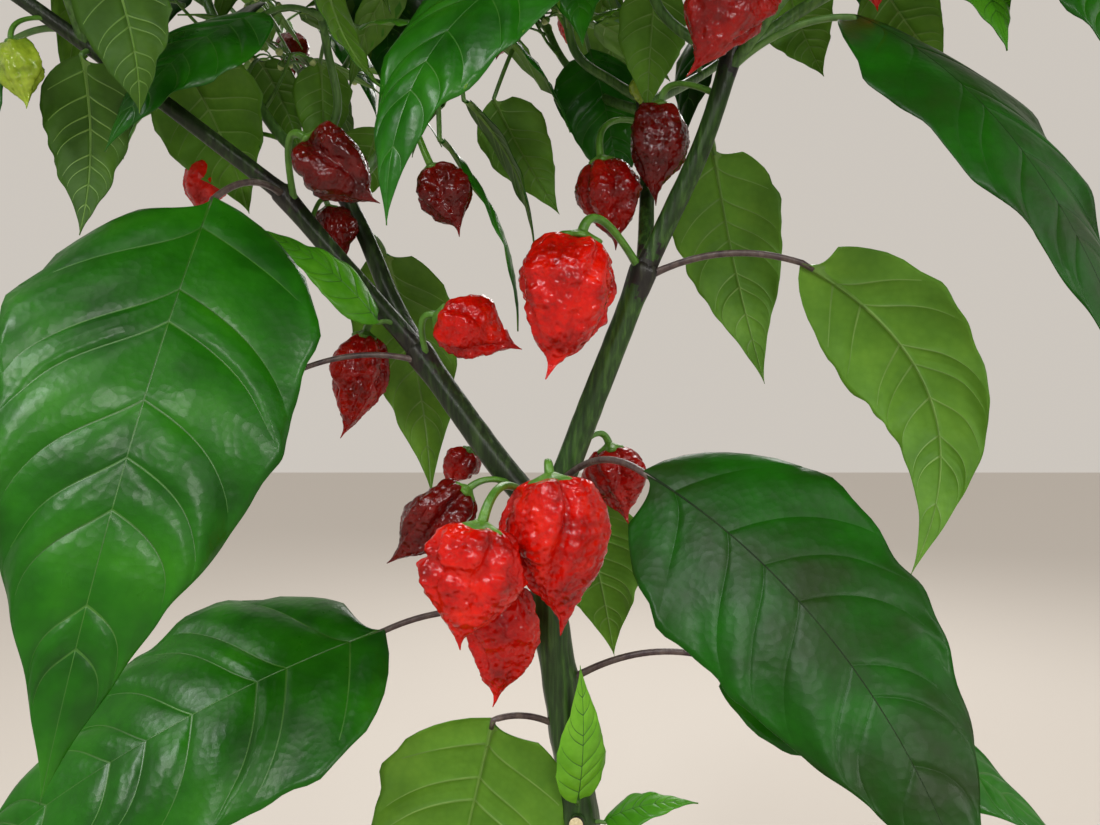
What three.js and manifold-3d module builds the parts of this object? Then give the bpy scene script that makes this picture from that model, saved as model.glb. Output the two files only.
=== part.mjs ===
// A fruiting chilli pepper plant in a plain clay pot, in millimetres with +Z up.
// The origin is the centre of the pot's flat underside. The side that the photograph shows faces -Y, and +X
// is to its right. One stem rises from the soil and forks into two boughs, which fork again into limbs. What
// the photograph shows stands first, each leaf and pod at its own place. Seeded shoots then fill the rest.

import * as THREE from "three";
import { mergeVertices } from "three/addons/utils/BufferGeometryUtils.js";
import Module from "manifold-3d";

// Pot and soil
const POT = { height: 220, rimRadius: 128, footRadius: 88, wall: 8, floor: 10, sides: 24 };
const BAND = { height: 34, step: 6 }; // the thicker band round the pot's rim
const SOIL_TOP = POT.height - 25;
const SOIL_FLAT_RADIUS = 45; // level ground round the stem
const SOIL_SAG = 4; // how much lower the soil lies at the pot's wall
const GAP = 0.3; // between pieces that rest on each other
const JOINT_DETAIL = 0.3; // the smallest detail kept where stalks and twigs run into each other

// Stem
const STEM_FOOT_RADIUS = 8.5;
const STEM_TOP_RADIUS = 6.0;
const FLARE = { height: 30, extra: 6.5 }; // root flare above the soil
const FORK = [-2, 0, 470];

// Foliage
const LEAF_ARCH = 0.1; // how far a midrib bows above its chord, as a share of the blade's length
const LEAF_CUP = -0.14; // how far the margins lie below the midrib, as a share of the half width
const BLADE_THICKNESS = 0.008; // half the thickness at the midrib, as a share of the length
const PETIOLE_RADIUS = { shown: 1.3, seeded: 0.65 };
const PEDICEL_RADIUS = 1.5;
const NODE_SWELL = 1.65; // a twig is thicker at its end, where the next two sit sunk in it
const ROOT_SUNK = 2.2; // how far below that end their roots start
const POD_DEPTH = 0.76; // a pod is flatter one way

// Where the plant stands open: a cone from the viewer's eye round the fork, with no seeded growth in it
const EYE = [0, -330, 510];
const OPENING = { side: 0.66, below: 0.52, above: 0.3, aboveRight: 0.46 };

// Seeded growth: the room that each kind keeps to itself, and how shoots, leaves and pods follow each other
const CLEAR = { blade: 3.5, twig: 2, pod: 2 };
const SEED = 719;
const SHOOT = { length: 80, shorter: 0.8, thinner: 0.88, outward: 0.1, climb: 0.35, spread: 24, tries: 4 };
const NEXT_PLANE = 84; // degrees from the plane of one fork to that of the next
const SEEDED_LEAF = { length: 118, droop: 60, lessPerFork: 14, tries: 3 };
const SEEDED_POD = { share: 0.35, width: 20, tries: 2 };
const FEET = { pod: 11, leaf: 5, secondLeaf: 9, tipLeaf: 1 }; // how far below a shoot's end each grows
const SEEDED_TONES = ["red", "deep", "maroon", "red"];
const REACH = { centre: [-10, 20, 655], radii: [325, 270, 285] }; // no seeded growth goes past this ellipsoid

// Limbs, from the main stem outwards: [name, limb it grows from, share along it, further points, radii]
const LIMBS = [
  ["left_bough", "main_stem", 1, [[-17, 2, 487], [-38, 8, 515], [-52, 14, 534]], [5.2, 4.7]],
  ["right_bough", "main_stem", 1, [[6, -1, 488], [16, -3, 514], [29, -6, 547], [35, -8, 563]], [5.0, 4.4]],
  ["left_outer", "left_bough", 1, [[-79, 12, 565], [-105, 8, 596]], [4.0, 3.5]],
  ["left_inner", "left_bough", 1, [[-64, 21, 555], [-76, 27, 582], [-88, 32, 605]], [3.8, 3.2]],
  [
    "right_outer", "right_bough", 1,
    [[45, -11, 584], [55, -15, 606], [62, -18, 627], [66, -20, 641]],
    [3.9, 3.3],
  ],
  ["right_inner", "right_bough", 1, [[37, 4, 580], [39, 18, 602], [40, 38, 643]], [3.1, 2.7]],
  ["left_far", "left_outer", 1, [[-147, 0, 628], [-173, -12, 647], [-212, -30, 674]], [3.3, 2.5]],
];

// Masses of foliage. Each has one stem of its own, from a limb, and seeded shoots that fork on from its end:
// [name, limb, share along it, further points, radii, forks]
const MASSES = [
  ["foliage_back", "right_inner", 0.93, [[22, 64, 655], [6, 108, 690], [-2, 122, 712]], [2.2, 1.8], 3],
  [
    "foliage_centre", "right_inner", 1,
    [[28, 42, 652], [11, 48, 668], [6, 46, 704], [4, 34, 734]],
    [2.2, 1.7], 3,
  ],
  [
    "foliage_right_twig", "right_outer", 0.96,
    [[55, -14, 645], [40, -8, 662], [32, -10, 700], [30, -22, 736]],
    [2.0, 1.6], 2,
  ],
  ["foliage_right_top", "right_outer", 0.98, [[74, -20, 664], [82, -8, 712]], [2.3, 1.8], 3],
  ["foliage_right_back", "right_inner", 0.97, [[72, 72, 668], [104, 104, 700]], [2.4, 1.8], 3],
  ["foliage_right_front", "right_outer", 0.9, [[96, -50, 668], [138, -84, 690]], [2.2, 1.7], 2],
  [
    "foliage_far_right", "right_outer", 0.93,
    [[90, -14, 656], [124, -10, 676], [166, 2, 700]],
    [2.5, 1.9], 3,
  ],
  ["foliage_front", "right_outer", 1, [[56, -42, 668], [38, -66, 710]], [2.1, 1.7], 3],
  [
    "foliage_left_top", "left_inner", 0.94,
    [[-71, 37, 622], [-57, 41, 653], [-46, 50, 700], [-44, 52, 726]],
    [2.4, 1.8], 3,
  ],
  [
    "foliage_left_back", "left_inner", 0.9,
    [[-98, 62, 620], [-112, 108, 655], [-118, 132, 682]],
    [2.6, 1.9], 3,
  ],
  [
    "foliage_left_middle", "left_inner", 1,
    [[-114, 38, 627], [-137, 45, 662], [-152, 52, 692]],
    [2.6, 1.9], 3,
  ],
  [
    "foliage_left_shoot", "left_inner", 0.97,
    [[-95, 36, 622], [-91, 40, 641], [-94, 34, 664], [-96, 8, 700]],
    [2.0, 1.5], 2,
  ],
  ["foliage_left_front", "left_far", 0.62, [[-170, -42, 678], [-158, -70, 705]], [2.2, 1.7], 3],
  ["foliage_far_left", "left_far", 1, [[-232, -34, 700]], [2.3, 1.9], 3],
];

// Leaves that the photograph shows: [name, what it grows on, share along that, base of the blade, tip, width,
// the way its upper side faces, and how its midrib bows where that isn't along the upper side]. One on a mass
// is fused to it, and one on a limb is a piece of its own.
const LEAVES = [
  ["leaf_left_front", "left_outer", 0.98, [-114, -38, 583], [-139, -95, 403], 88, [0.35, -1, 0.3]],
  [
    "leaf_right_front", "right_bough", 0.14,
    [30, -52, 491], [101, -132, 383],
    67, [-0.2, -1, 0.5], [12, -10, 9],
  ],
  ["leaf_left_low", "main_stem", 0.845, [-62, -7, 429], [-204, -46, 350], 84, [0.1, -0.75, 0.8]],
  ["leaf_right_long", "right_outer", 0.9, [102, -40, 644], [152, -112, 505], 52, [0.3, -0.8, 0.5]],
  [
    "leaf_right_middle", "right_bough", 0.96,
    [89, -25, 563], [122, -38, 455],
    44, [0.35, 0.9, 0.2], [26, 0, 6],
  ],
  ["leaf_right_back", "right_outer", 0.6, [66, 20, 618], [90, 32, 522], 46, [0, 1, 0.3]],
  ["leaf_left_back", "left_inner", 0.7, [-72, 44, 581], [-53, 56, 473], 48, [0.2, 1, 0.3]],
  ["leaf_fork_back", "main_stem", 0.955, [11, 24, 476], [28, 46, 404], 50, [0.2, 1, 0.2]],
  ["leaf_stem_left", "main_stem", 0.7, [-21, -8, 396], [-46, -26, 284], 74, [0, 1, 0.2]],
  ["leaf_stem_right", "main_stem", 0.765, [62, -12, 420], [163, -64, 372], 58, [0.2, -0.5, 1]],
  ["leaf_stem_young", "main_stem", 0.585, [10, -12, 366], [11, -16, 418], 19, [0.3, -1, 0]],
  ["leaf_stem_small", "main_stem", 0.56, [20, -7, 357], [54, -16, 368], 16, [0, -0.4, 1]],
  ["leaf_left_behind", "left_bough", 0.93, [-106, -4, 521], [-152, -16, 462], 40, [0.2, -1, 0.4]],
  ["leaf_left_young", "left_outer", 0.16, [-66, 4, 545], [-112, -4, 580], 22, [-0.4, -0.6, 1]],
  ["leaf_left_hanging", "left_far", 0.6, [-171, -14, 641], [-170, -18, 574], 34, [0, 1, 0.3]],
  ["leaf_left_edge", "left_far", 0.68, [-206, -12, 642], [-238, -22, 560], 44, [-0.2, -1, 0.5]],
  ["leaf_dark", "foliage_left_front", 0.35, [-146, -46, 662], [-132, -52, 606], 32, [0, 1, 0.3]],
  ["leaf_folded", "foliage_left_shoot", 0.7, [-112, 6, 666], [-157, -26, 602], 42, [0.2, -0.6, 1]],
  ["leaf_broad", "foliage_left_middle", 0.5, [-156, 34, 660], [-124, 26, 592], 50, [0, 1, 0.3]],
  ["leaf_middle_1", "foliage_left_middle", 0.6, [-130, 56, 668], [-114, 64, 628], 26, [0.3, 1, 0.4]],
  ["leaf_middle_2", "foliage_left_shoot", 0.62, [-101, 50, 664], [-101, 50, 618], 26, [0, 1, 0.4]],
  ["leaf_middle_3", "foliage_left_top", 0.4, [-75, 46, 634], [-91, 58, 600], 26, [0, 1, 0.4]],
  ["leaf_narrow", "foliage_left_shoot", 0.9, [-88, 4, 682], [-62, -4, 631], 20, [-1, 0.5, 0.3]],
  ["leaf_level", "foliage_left_shoot", 0.66, [-80, 34, 673], [-49, 26, 668], 22, [0, -0.5, 1]],
  ["leaf_blade_1", "foliage_left_top", 0.6, [-43, 12, 619], [-12, 0, 541], 24, [1, -0.1, 0.2]],
  ["leaf_blade_2", "foliage_left_top", 0.75, [-35, 27, 640], [-6, 20, 574], 20, [1, 0.2, 0.2]],
  ["leaf_blade_3", "foliage_centre", 0.7, [-24, 36, 643], [4, 36, 594], 30, [-0.3, 1, 0.4]],
  ["leaf_round", "foliage_centre", 0.66, [18, 64, 676], [33, 64, 603], 42, [0, -1, 0.5]],
  ["leaf_bud_side", "foliage_centre", 0.8, [14, 44, 678], [35, 38, 682], 16, [0, -0.6, 1]],
  ["leaf_twig", "foliage_right_twig", 0.85, [42, 12, 681], [39, 16, 630], 28, [0, 1, 0.3]],
  ["leaf_top_right", "foliage_right_top", 0.55, [90, -2, 672], [106, 4, 640], 28, [0, 1, 0.3]],
  [
    "leaf_centre_top", "foliage_front", 0.5,
    [12, -46, 665], [-49, -72, 566],
    50, [-0.4, -1, 0.6], [-16, -6, 8],
  ],
  ["leaf_far_right_1", "foliage_far_right", 0.45, [126, -42, 668], [139, -68, 620], 34, [0.3, -1, 0.5]],
  ["leaf_far_right_2", "foliage_far_right", 0.65, [150, -48, 672], [165, -84, 602], 38, [0.3, -1, 0.5]],
  ["leaf_far_right_3", "foliage_far_right", 0.35, [118, -18, 668], [142, -22, 632], 30, [0, 1, 0.3]],
];

// Pods that the photograph shows: [name, what it hangs on, share along that, top, tail's tip, width, tone]
const PODS = [
  ["pod_fork_front", "right_bough", 0.05, [0, -24, 487], [6, -25, 431], 38, "red"],
  ["pod_fork_left", "left_bough", 0.07, [-23, -40, 472], [-32, -42, 431], 36, "red"],
  ["pod_fork_low", "main_stem", 0.93, [-16, -15, 447], [-19, -15, 402], 28, "red"],
  ["pod_fork_dark", "left_bough", 0.16, [-31, -8, 481], [-60, -10, 453], 24, "maroon"],
  ["pod_fork_small", "left_bough", 0.24, [-32, 19, 495], [-43, 21, 480], 16, "deep"],
  ["pod_fork_back", "right_bough", 0.24, [24, 17, 496], [31, 18, 465], 26, "deep"],
  ["pod_left_node", "left_bough", 0.97, [-76, 25, 542], [-84, 24, 499], 25, "deep"],
  ["pod_middle", "left_bough", 0.9, [-43, 2, 547], [-11, 1, 534], 26, "red"],
  ["pod_right_node", "right_bough", 0.985, [11, -28, 572], [0, -30, 521], 37, "red"],
  ["pod_hanging_left", "right_inner", 0.86, [20, 8, 609], [27, 8, 574], 25, "deep"],
  ["pod_hanging_right", "right_outer", 0.8, [42, -2, 627], [40, -2, 589], 24, "maroon"],
  ["pod_top", "right_outer", 0.97, [66, -46, 661], [47, -46, 620], 30, "deep"],
  ["pod_left_tail", "left_outer", 0.9, [-90, -10, 611], [-64, -11, 586], 27, "maroon"],
  ["pod_left_under", "left_outer", 0.8, [-91, 25, 594], [-85, 25, 570], 20, "maroon"],
  ["pod_unripe", "left_far", 0.72, [-189, -27, 640], [-182, -28, 616], 17, "unripe"],
  ["pod_behind_leaf", "foliage_left_top", 0.5, [-45, -2, 603], [-33, -4, 577], 23, "maroon"],
  ["pod_glimpse", "foliage_left_middle", 0.3, [-146, 42, 619], [-153, 42, 594], 20, "red"],
  ["pod_far_right", "foliage_far_right", 0.3, [112, -32, 670], [112, -34, 647], 16, "red"],
  ["pod_set", "foliage_centre", 0.08, [38, 26, 648], [37, 25, 636], 11, "unripe"],
];

// Colours and finishes
const FINISH = {
  clay: { color: 0xb5653f, roughness: 0.85 },
  soil: { color: 0x33251b, roughness: 1 },
  bark: { color: 0x3f5a33, roughness: 0.6 },
  leaf: { color: 0x2f7a22, roughness: 0.4 },
  red: { color: 0xd0210f, roughness: 0.2 },
  deep: { color: 0x8f140d, roughness: 0.2 },
  maroon: { color: 0x560c0a, roughness: 0.25 },
  unripe: { color: 0x9fb53a, roughness: 0.3 },
};

const wasm = await Module();
wasm.setup();

const UP = new THREE.Vector3(0, 0, 1);
const vec = ([x, y, z]) => new THREE.Vector3(x, y, z);
const mix = (a, b, t) => a.clone().lerp(b, t);
const radians = THREE.MathUtils.degToRad;

// Numbers from 0 to 1 in a fixed order
function seeded(seed) {
  let state = seed;
  return () => {
    state = (Math.imul(state, 1664525) + 1013904223) >>> 0;
    return state / 4294967296;
  };
}

function across(vector, along) {
  const flat = vector.clone().addScaledVector(along, -vector.dot(along));
  return flat.normalize();
}

// A closed skin over rings that all have the same number of points, with an optional point as its end
function loft(rings, tip) {
  const n = rings[0].length;
  const points = rings.flat();
  const faces = [];
  for (let j = 1; j < n - 1; j++) faces.push(0, j + 1, j);
  for (let i = 0; i < rings.length - 1; i++) {
    for (let j = 0; j < n; j++) {
      const a = i * n + j;
      const b = i * n + ((j + 1) % n);
      faces.push(a, b, b + n, a, b + n, a + n);
    }
  }
  const last = (rings.length - 1) * n;
  if (tip) {
    points.push(tip);
    for (let j = 0; j < n; j++) faces.push(last + j, last + ((j + 1) % n), points.length - 1);
  } else {
    for (let j = 1; j < n - 1; j++) faces.push(last, last + j, last + j + 1);
  }
  return solidFromGeometry(new THREE.BufferGeometry().setFromPoints(points).setIndex(faces));
}

function solidFromGeometry(geometry) {
  const bare = geometry.clone();
  bare.deleteAttribute("normal");
  bare.deleteAttribute("uv");
  const merged = mergeVertices(bare, 1e-3);
  const vertProperties = merged.attributes.position.array;
  const triVerts = new Uint32Array(merged.index.array);
  return new wasm.Manifold(new wasm.Mesh({ numProp: 3, vertProperties, triVerts }));
}

function geometryFromSolid(manifold) {
  const mesh = manifold.getMesh();
  const geometry = new THREE.BufferGeometry();
  geometry.setAttribute("position", new THREE.BufferAttribute(mesh.vertProperties, 3));
  geometry.setIndex(new THREE.BufferAttribute(mesh.triVerts, 1));
  geometry.computeVertexNormals();
  return geometry;
}

function largestPiece(manifold) {
  const pieces = manifold.decompose();
  return pieces.reduce((best, piece) => (piece.volume() > best.volume() ? piece : best));
}

// A ring about a centre: each corner is [how far out the way that the ring faces, how far to its side]
function ring(centre, along, face, corners) {
  const out = across(face, along);
  const side = along.clone().cross(out);
  return corners.map(([x, y]) => centre.clone().addScaledVector(out, x).addScaledVector(side, y));
}

function roundCorners(sides, radius, depth = radius, lobe = 0) {
  return Array.from({ length: sides }, (_, j) => {
    const angle = (j / sides) * 2 * Math.PI;
    const swell = 1 + (j % 2 ? -lobe : lobe);
    return [Math.cos(angle) * depth * swell, Math.sin(angle) * radius * swell];
  });
}

// A stem is { name, node, kind, curve, radii, sides, steps }, of the kind trunk, limb or twig
const stems = new Map();
const leaves = [];
const pods = [];

function stemRadius(stem, t) {
  const radius = THREE.MathUtils.lerp(stem.radii[0], stem.radii[1], t);
  const height = t * stem.curve.getLength();
  if (stem.kind === "trunk") return radius + FLARE.extra * Math.max(0, 1 - height / FLARE.height) ** 2;
  return stem.kind === "twig" && t === 1 ? radius * NODE_SWELL : radius;
}

function stemSolid(stem, grow = 0) {
  const shares = stem.shares ?? Array.from({ length: stem.steps + 1 }, (_, i) => i / stem.steps);
  let face = new THREE.Vector3(0.3, -1, 0.1);
  const rings = shares.map((t, i) => {
    const along = stem.kind === "trunk" && i === 0 ? UP : stem.curve.getTangentAt(t);
    const beyond = i === 0 ? -grow : i === shares.length - 1 ? grow : 0;
    const centre = stem.curve.getPointAt(t).addScaledVector(along, beyond);
    face = across(face, along);
    return ring(centre, along, face, roundCorners(stem.sides, stemRadius(stem, t) + grow));
  });
  return loft(rings);
}

function addStem(name, node, points, radii, more = {}) {
  const curve = new THREE.CatmullRomCurve3(points, false, "centripetal");
  const stem = { name, node, curve, radii, kind: "limb", sides: 8, steps: 5, ...more };
  stems.set(name, stem);
  return stem;
}

function growLimb([name, on, share, further, radii], node = name, more = {}) {
  const foot = stems.get(on).curve.getPointAt(share);
  return addStem(name, node, [foot, ...further.map(vec)], radii, more);
}

// Leaves: { node, owner, foot, base, tip, width, face, bow, fine }. This is a blade's width along its length
function bladeShare(t) {
  return (t ** 0.6 * (1 - t) ** 1.4) / 0.295; // ovate, widest nearer the base, with a drawn-out tip
}

function bladeCurve(leaf) {
  const chord = leaf.tip.clone().sub(leaf.base);
  const up = across(leaf.face, chord.clone().normalize());
  const bow = leaf.bow ?? up.multiplyScalar(LEAF_ARCH * chord.length());
  const bend = mix(leaf.base, leaf.tip, 0.5).addScaledVector(bow, 2);
  return new THREE.QuadraticBezierCurve3(leaf.base, bend, leaf.tip);
}

function petioleCurve(leaf) {
  const rise = 0.22 * leaf.foot.distanceTo(leaf.base);
  const bend = mix(leaf.foot, leaf.base, 0.5).addScaledVector(UP, rise);
  return new THREE.QuadraticBezierCurve3(leaf.foot, bend, leaf.base);
}

// Across a leaf: the midrib's thickness in the middle and the margins to both sides, lower by the cup's share
function fineSection(half, thick, cup) {
  const [lift, rim] = [cup * half, 0.5 * thick];
  const low = [[lift - rim, half], [-thick, 0], [lift - rim, -half]];
  return [[thick, 0], [lift + rim, half], ...low, [lift + rim, -half]];
}

function plainSection(half, thick, cup) {
  const lift = 0.5 * (cup * half - thick);
  return [[thick, 0], [lift, half], [lift, -half]];
}

function leafSolid(leaf) {
  const length = leaf.base.distanceTo(leaf.tip);
  const thick = BLADE_THICKNESS * length + 0.3;
  const petiole = petioleCurve(leaf);
  const blade = bladeCurve(leaf);
  const section = leaf.fine ? fineSection : plainSection;
  const root = (leaf.fine ? PETIOLE_RADIUS.shown : PETIOLE_RADIUS.seeded) * Math.min(1, 0.45 + length / 180);
  const rings = (leaf.fine ? [0, 0.5, 1] : [0, 1]).map((t) =>
    ring(petiole.getPoint(t), petiole.getTangent(t), leaf.face, section(root, root, 0)),
  );
  const plainShares = length > 76 ? [0.16, 0.42, 0.74] : [0.2, 0.6];
  for (const t of leaf.fine ? [0.1, 0.26, 0.45, 0.66, 0.86] : plainShares) {
    const half = (leaf.width / 2) * bladeShare(t);
    const corners = section(half, thick * (1.15 - 0.6 * t), LEAF_CUP);
    rings.push(ring(blade.getPoint(t), blade.getTangent(t), leaf.face, corners));
  }
  return loft(rings, leaf.tip);
}

// Pods: { node, owner, foot, top, tail, width, face, tone, fine }, hung on an arched stalk
function pedicelCurve(pod) {
  const along = pod.tail.clone().sub(pod.top).normalize();
  const bend = pod.top.clone().addScaledVector(along, -0.55 * pod.foot.distanceTo(pod.top));
  return new THREE.QuadraticBezierCurve3(pod.foot, bend, pod.top);
}

function podSolid(pod) {
  const along = pod.tail.clone().sub(pod.top);
  const straight = along.clone().normalize();
  const sides = pod.fine ? 7 : 5;
  const pedicel = pedicelCurve(pod);
  const rings = [0, 0.5, 1].map((t) => {
    const radius = PEDICEL_RADIUS * Math.min(1, pod.width / 26) * (0.6 + 0.8 * t * t);
    return ring(pedicel.getPoint(t), pedicel.getTangent(t), pod.face, roundCorners(sides, radius));
  });
  const outline = pod.fine
    ? [[0.04, 0.58], [0.2, 0.96], [0.46, 0.96], [0.7, 0.62], [0.87, 0.18]]
    : [[0.06, 0.68], [0.36, 1], [0.74, 0.5]];
  for (const [t, share] of outline) {
    const radius = (pod.width / 2) * share;
    const corners = roundCorners(sides, radius, radius * POD_DEPTH, pod.fine ? 0.05 : 0.03);
    rings.push(ring(pod.top.clone().addScaledVector(along, t), straight, pod.face, corners));
  }
  return loft(rings, pod.tail);
}

// What stands already, which seeded growth keeps clear of: points of it, with the room that each needs
const standing = [];

function stand(owner, points, radius) {
  const middle = points.reduce((sum, p) => sum.add(p), new THREE.Vector3()).divideScalar(points.length);
  const span = Math.max(...points.map((p) => p.distanceTo(middle))) + radius;
  return { owner, points, radius, middle, span };
}

function clashes(body, ignored) {
  return standing.some((other) => {
    if (other.owner === ignored) return false;
    if (other.middle.distanceTo(body.middle) > other.span + body.span) return false;
    const least = (other.radius + body.radius) ** 2;
    return body.points.some((p) => other.points.some((q) => p.distanceToSquared(q) < least));
  });
}

function leafRoom(leaf) {
  const petiole = petioleCurve(leaf);
  const blade = bladeCurve(leaf);
  const points = [0.6, 0.8].map((t) => petiole.getPoint(t));
  for (let i = 0; i < 10; i++) {
    const t = 0.04 + 0.1 * i;
    const half = (leaf.width / 2) * bladeShare(t);
    const shares = [-1, -0.66, -0.33, 0, 0.33, 0.66, 1];
    const corners = shares.map((s) => [LEAF_CUP * half * Math.abs(s), s * half]);
    points.push(...ring(blade.getPoint(t), blade.getTangent(t), leaf.face, corners));
  }
  return stand(leaf.owner, points, CLEAR.blade);
}

function podRoom(pod) {
  const points = [0.25, 0.45, 0.7].map((t) => mix(pod.top, pod.tail, t));
  return stand(pod.owner, points, pod.width * 0.45 + CLEAR.pod);
}

function stemRoom(stem) {
  const steps = Math.ceil(stem.curve.getLength() / 5);
  const points = Array.from({ length: steps + 1 }, (_, i) => stem.curve.getPointAt(i / steps));
  return stand(stem.name, points, Math.max(...stem.radii) + CLEAR.twig);
}

// Whether seeded growth would leave its reach or cross the opening that the photograph looks through
function outOfPlace(points) {
  const centre = vec(REACH.centre);
  const radii = vec(REACH.radii);
  return points.some((p) => {
    if (p.clone().sub(centre).divide(radii).length() > 1) return true;
    const ahead = p.y - EYE[1];
    if (ahead <= 0) return true;
    const side = (p.x - EYE[0]) / ahead;
    const height = (p.z - EYE[2]) / ahead;
    const top = side > 0.28 ? OPENING.aboveRight : OPENING.above;
    return Math.abs(side) < OPENING.side && height > -OPENING.below && height < top;
  });
}

// The first of a few seeded tries that has room, which then stands. A try is { room, ... }
function firstThatFits(tries, ignored, attempt) {
  for (let i = 0; i < tries; i++) {
    const made = attempt(i);
    if (outOfPlace(made.room.points) || clashes(made.room, ignored)) continue;
    standing.push(made.room);
    return made;
  }
  return null;
}

function heading(degrees, rise) {
  const [flat, turn] = [Math.cos(radians(rise)), radians(degrees)];
  return new THREE.Vector3(flat * Math.cos(turn), flat * Math.sin(turn), Math.sin(radians(rise)));
}

// A seeded leaf reaches out from its twig and droops
function seedLeaf(node, twig, foot, out, length, droop, draw) {
  const made = firstThatFits(SEEDED_LEAF.tries, twig, (i) => {
    const turn = out + 40 * i * (i % 2 ? 1 : -1) + 50 * (draw() - 0.5);
    const petiole = length * (0.2 + 0.15 * draw());
    const fall = droop + 24 * (draw() - 0.5);
    const base = foot.clone().addScaledVector(heading(turn, 28 - 0.3 * fall), petiole);
    const tip = base.clone().addScaledVector(heading(turn, -fall), length);
    const face = heading(turn + 50 * (draw() - 0.5), 60);
    const width = length * (0.4 + 0.1 * draw());
    const leaf = { node, owner: `${twig}_leaf`, foot, base, tip, width, face, fine: false };
    return { leaf, room: leafRoom(leaf) };
  });
  if (made) leaves.push(made.leaf);
}

// A seeded pod hangs from its node
function seedPod(node, twig, foot, out, draw) {
  const made = firstThatFits(SEEDED_POD.tries, twig, (i) => {
    const width = SEEDED_POD.width + 9 * draw();
    const turn = out + 120 * i + 60 * (draw() - 0.5);
    const top = foot.clone().addScaledVector(heading(turn, -30), 16 + width * 0.3);
    const tail = top.clone().addScaledVector(heading(turn, -80), width * (1.3 + 0.4 * draw()));
    const tone = SEEDED_TONES[Math.floor(SEEDED_TONES.length * draw())];
    const face = heading(turn, 0);
    const pod = { node, owner: `${twig}_pod`, foot, top, tail, width, face, tone, fine: false };
    return { pod, room: podRoom(pod) };
  });
  if (made) pods.push(made.pod);
}

// One arm of a fork, spread to its own side of the shoot and bent towards the light
function seedShoot(node, name, shoot, side, draw) {
  const outward = new THREE.Vector3(shoot.foot.x - FORK[0], shoot.foot.y - FORK[1], 0).normalize();
  const made = firstThatFits(SHOOT.tries, shoot.name, (i) => {
    const spread = radians(side * (SHOOT.spread + 14 * draw() + 4 * i));
    const plane = shoot.plane + 30 * (draw() - 0.5) + 25 * i;
    const length = shoot.length * (0.8 + 0.25 * draw() - 0.08 * i);
    const turned = across(heading(plane, 0), shoot.along);
    const along = shoot.along.clone().multiplyScalar(Math.cos(spread));
    along.addScaledVector(turned, Math.sin(spread));
    along.addScaledVector(outward, SHOOT.outward).addScaledVector(UP, SHOOT.climb).normalize();
    const tip = shoot.foot.clone().addScaledVector(along, length);
    const root = shoot.foot.clone().addScaledVector(shoot.along, -ROOT_SUNK);
    const middle = mix(shoot.foot, tip, 0.5).addScaledVector(UP, -0.04 * length);
    const points = [0.2, 0.35, 0.5, 0.65, 0.8, 1].map((t) => mix(shoot.foot, tip, t));
    const room = stand(name, points, shoot.radius + CLEAR.twig);
    return { points: [root, middle, tip], along, plane, room };
  });
  if (!made) return null;
  const radius = shoot.radius * SHOOT.thinner;
  addStem(name, node, made.points, [shoot.radius, radius], { kind: "twig", sides: 3, steps: 1 });
  const length = shoot.length * SHOOT.shorter;
  const plane = made.plane + NEXT_PLANE;
  const out = THREE.MathUtils.radToDeg(Math.atan2(outward.y, outward.x));
  return { name, foot: made.points[2], along: made.along, length, radius, plane, out };
}

// Leaves and perhaps a pod at a shoot's end: two leaves where it forks on, and a cluster where it doesn't
function dressNode(node, shoot, side, order, isLast, draw) {
  const length = SEEDED_LEAF.length - SEEDED_LEAF.lessPerFork * order;
  const droop = SEEDED_LEAF.droop - SEEDED_LEAF.lessPerFork * order;
  const below = (distance) => shoot.foot.clone().addScaledVector(shoot.along, -distance);
  if (draw() < SEEDED_POD.share) seedPod(node, shoot.name, below(FEET.pod), shoot.out + 150, draw);
  seedLeaf(node, shoot.name, below(FEET.leaf), shoot.out + 35 * side, length, droop, draw);
  if (isLast) {
    seedLeaf(node, shoot.name, below(FEET.secondLeaf), shoot.out + 120, length * 0.62, 15, draw);
    seedLeaf(node, shoot.name, below(FEET.tipLeaf), shoot.out - 110, length * 0.5, 0, draw);
  } else {
    seedLeaf(node, shoot.name, below(FEET.secondLeaf), shoot.out + 150 * side, length * 0.85, droop, draw);
  }
}

// Shoots that fork in two at each node, the plane of each fork across the last one
function growShoots(mass, seed, forks) {
  const draw = seeded(seed);
  const first = stems.get(mass);
  const foot = first.curve.getPointAt(1);
  const along = first.curve.getTangentAt(1);
  const radius = first.radii[1] * 0.85;
  let shoots = [{ name: mass, foot, along, length: SHOOT.length, radius, plane: 180 * draw() }];
  let count = 0;
  for (let order = 0; order < forks; order++) {
    const grown = [];
    for (const shoot of shoots) {
      for (const side of [-1, 1]) {
        count += 1;
        const arm = seedShoot(mass, `${mass}_${count}`, shoot, side, draw);
        if (!arm) continue;
        dressNode(mass, arm, side, order, order === forks - 1, draw);
        grown.push(arm);
      }
    }
    shoots = grown;
  }
}

// Plant: the stem and limbs, what the photograph shows on them, and then the seeded shoots
addStem(
  "main_stem",
  "main_stem",
  [[3, 0, SOIL_TOP + GAP], [10, 0, 270], [11, 0, 352], [5, 0, 400], [-1, 0, 438], FORK].map(vec),
  [STEM_FOOT_RADIUS, STEM_TOP_RADIUS],
  { kind: "trunk", sides: 12, shares: [0, 0.03, 0.06, 0.11, 0.2, 0.35, 0.5, 0.65, 0.8, 0.9, 1] },
);
for (const limb of LIMBS) growLimb(limb);
for (const mass of MASSES) growLimb(mass, mass[0], { kind: "twig", sides: 5, steps: 3 });
for (const stem of stems.values()) standing.push(stemRoom(stem));

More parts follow.
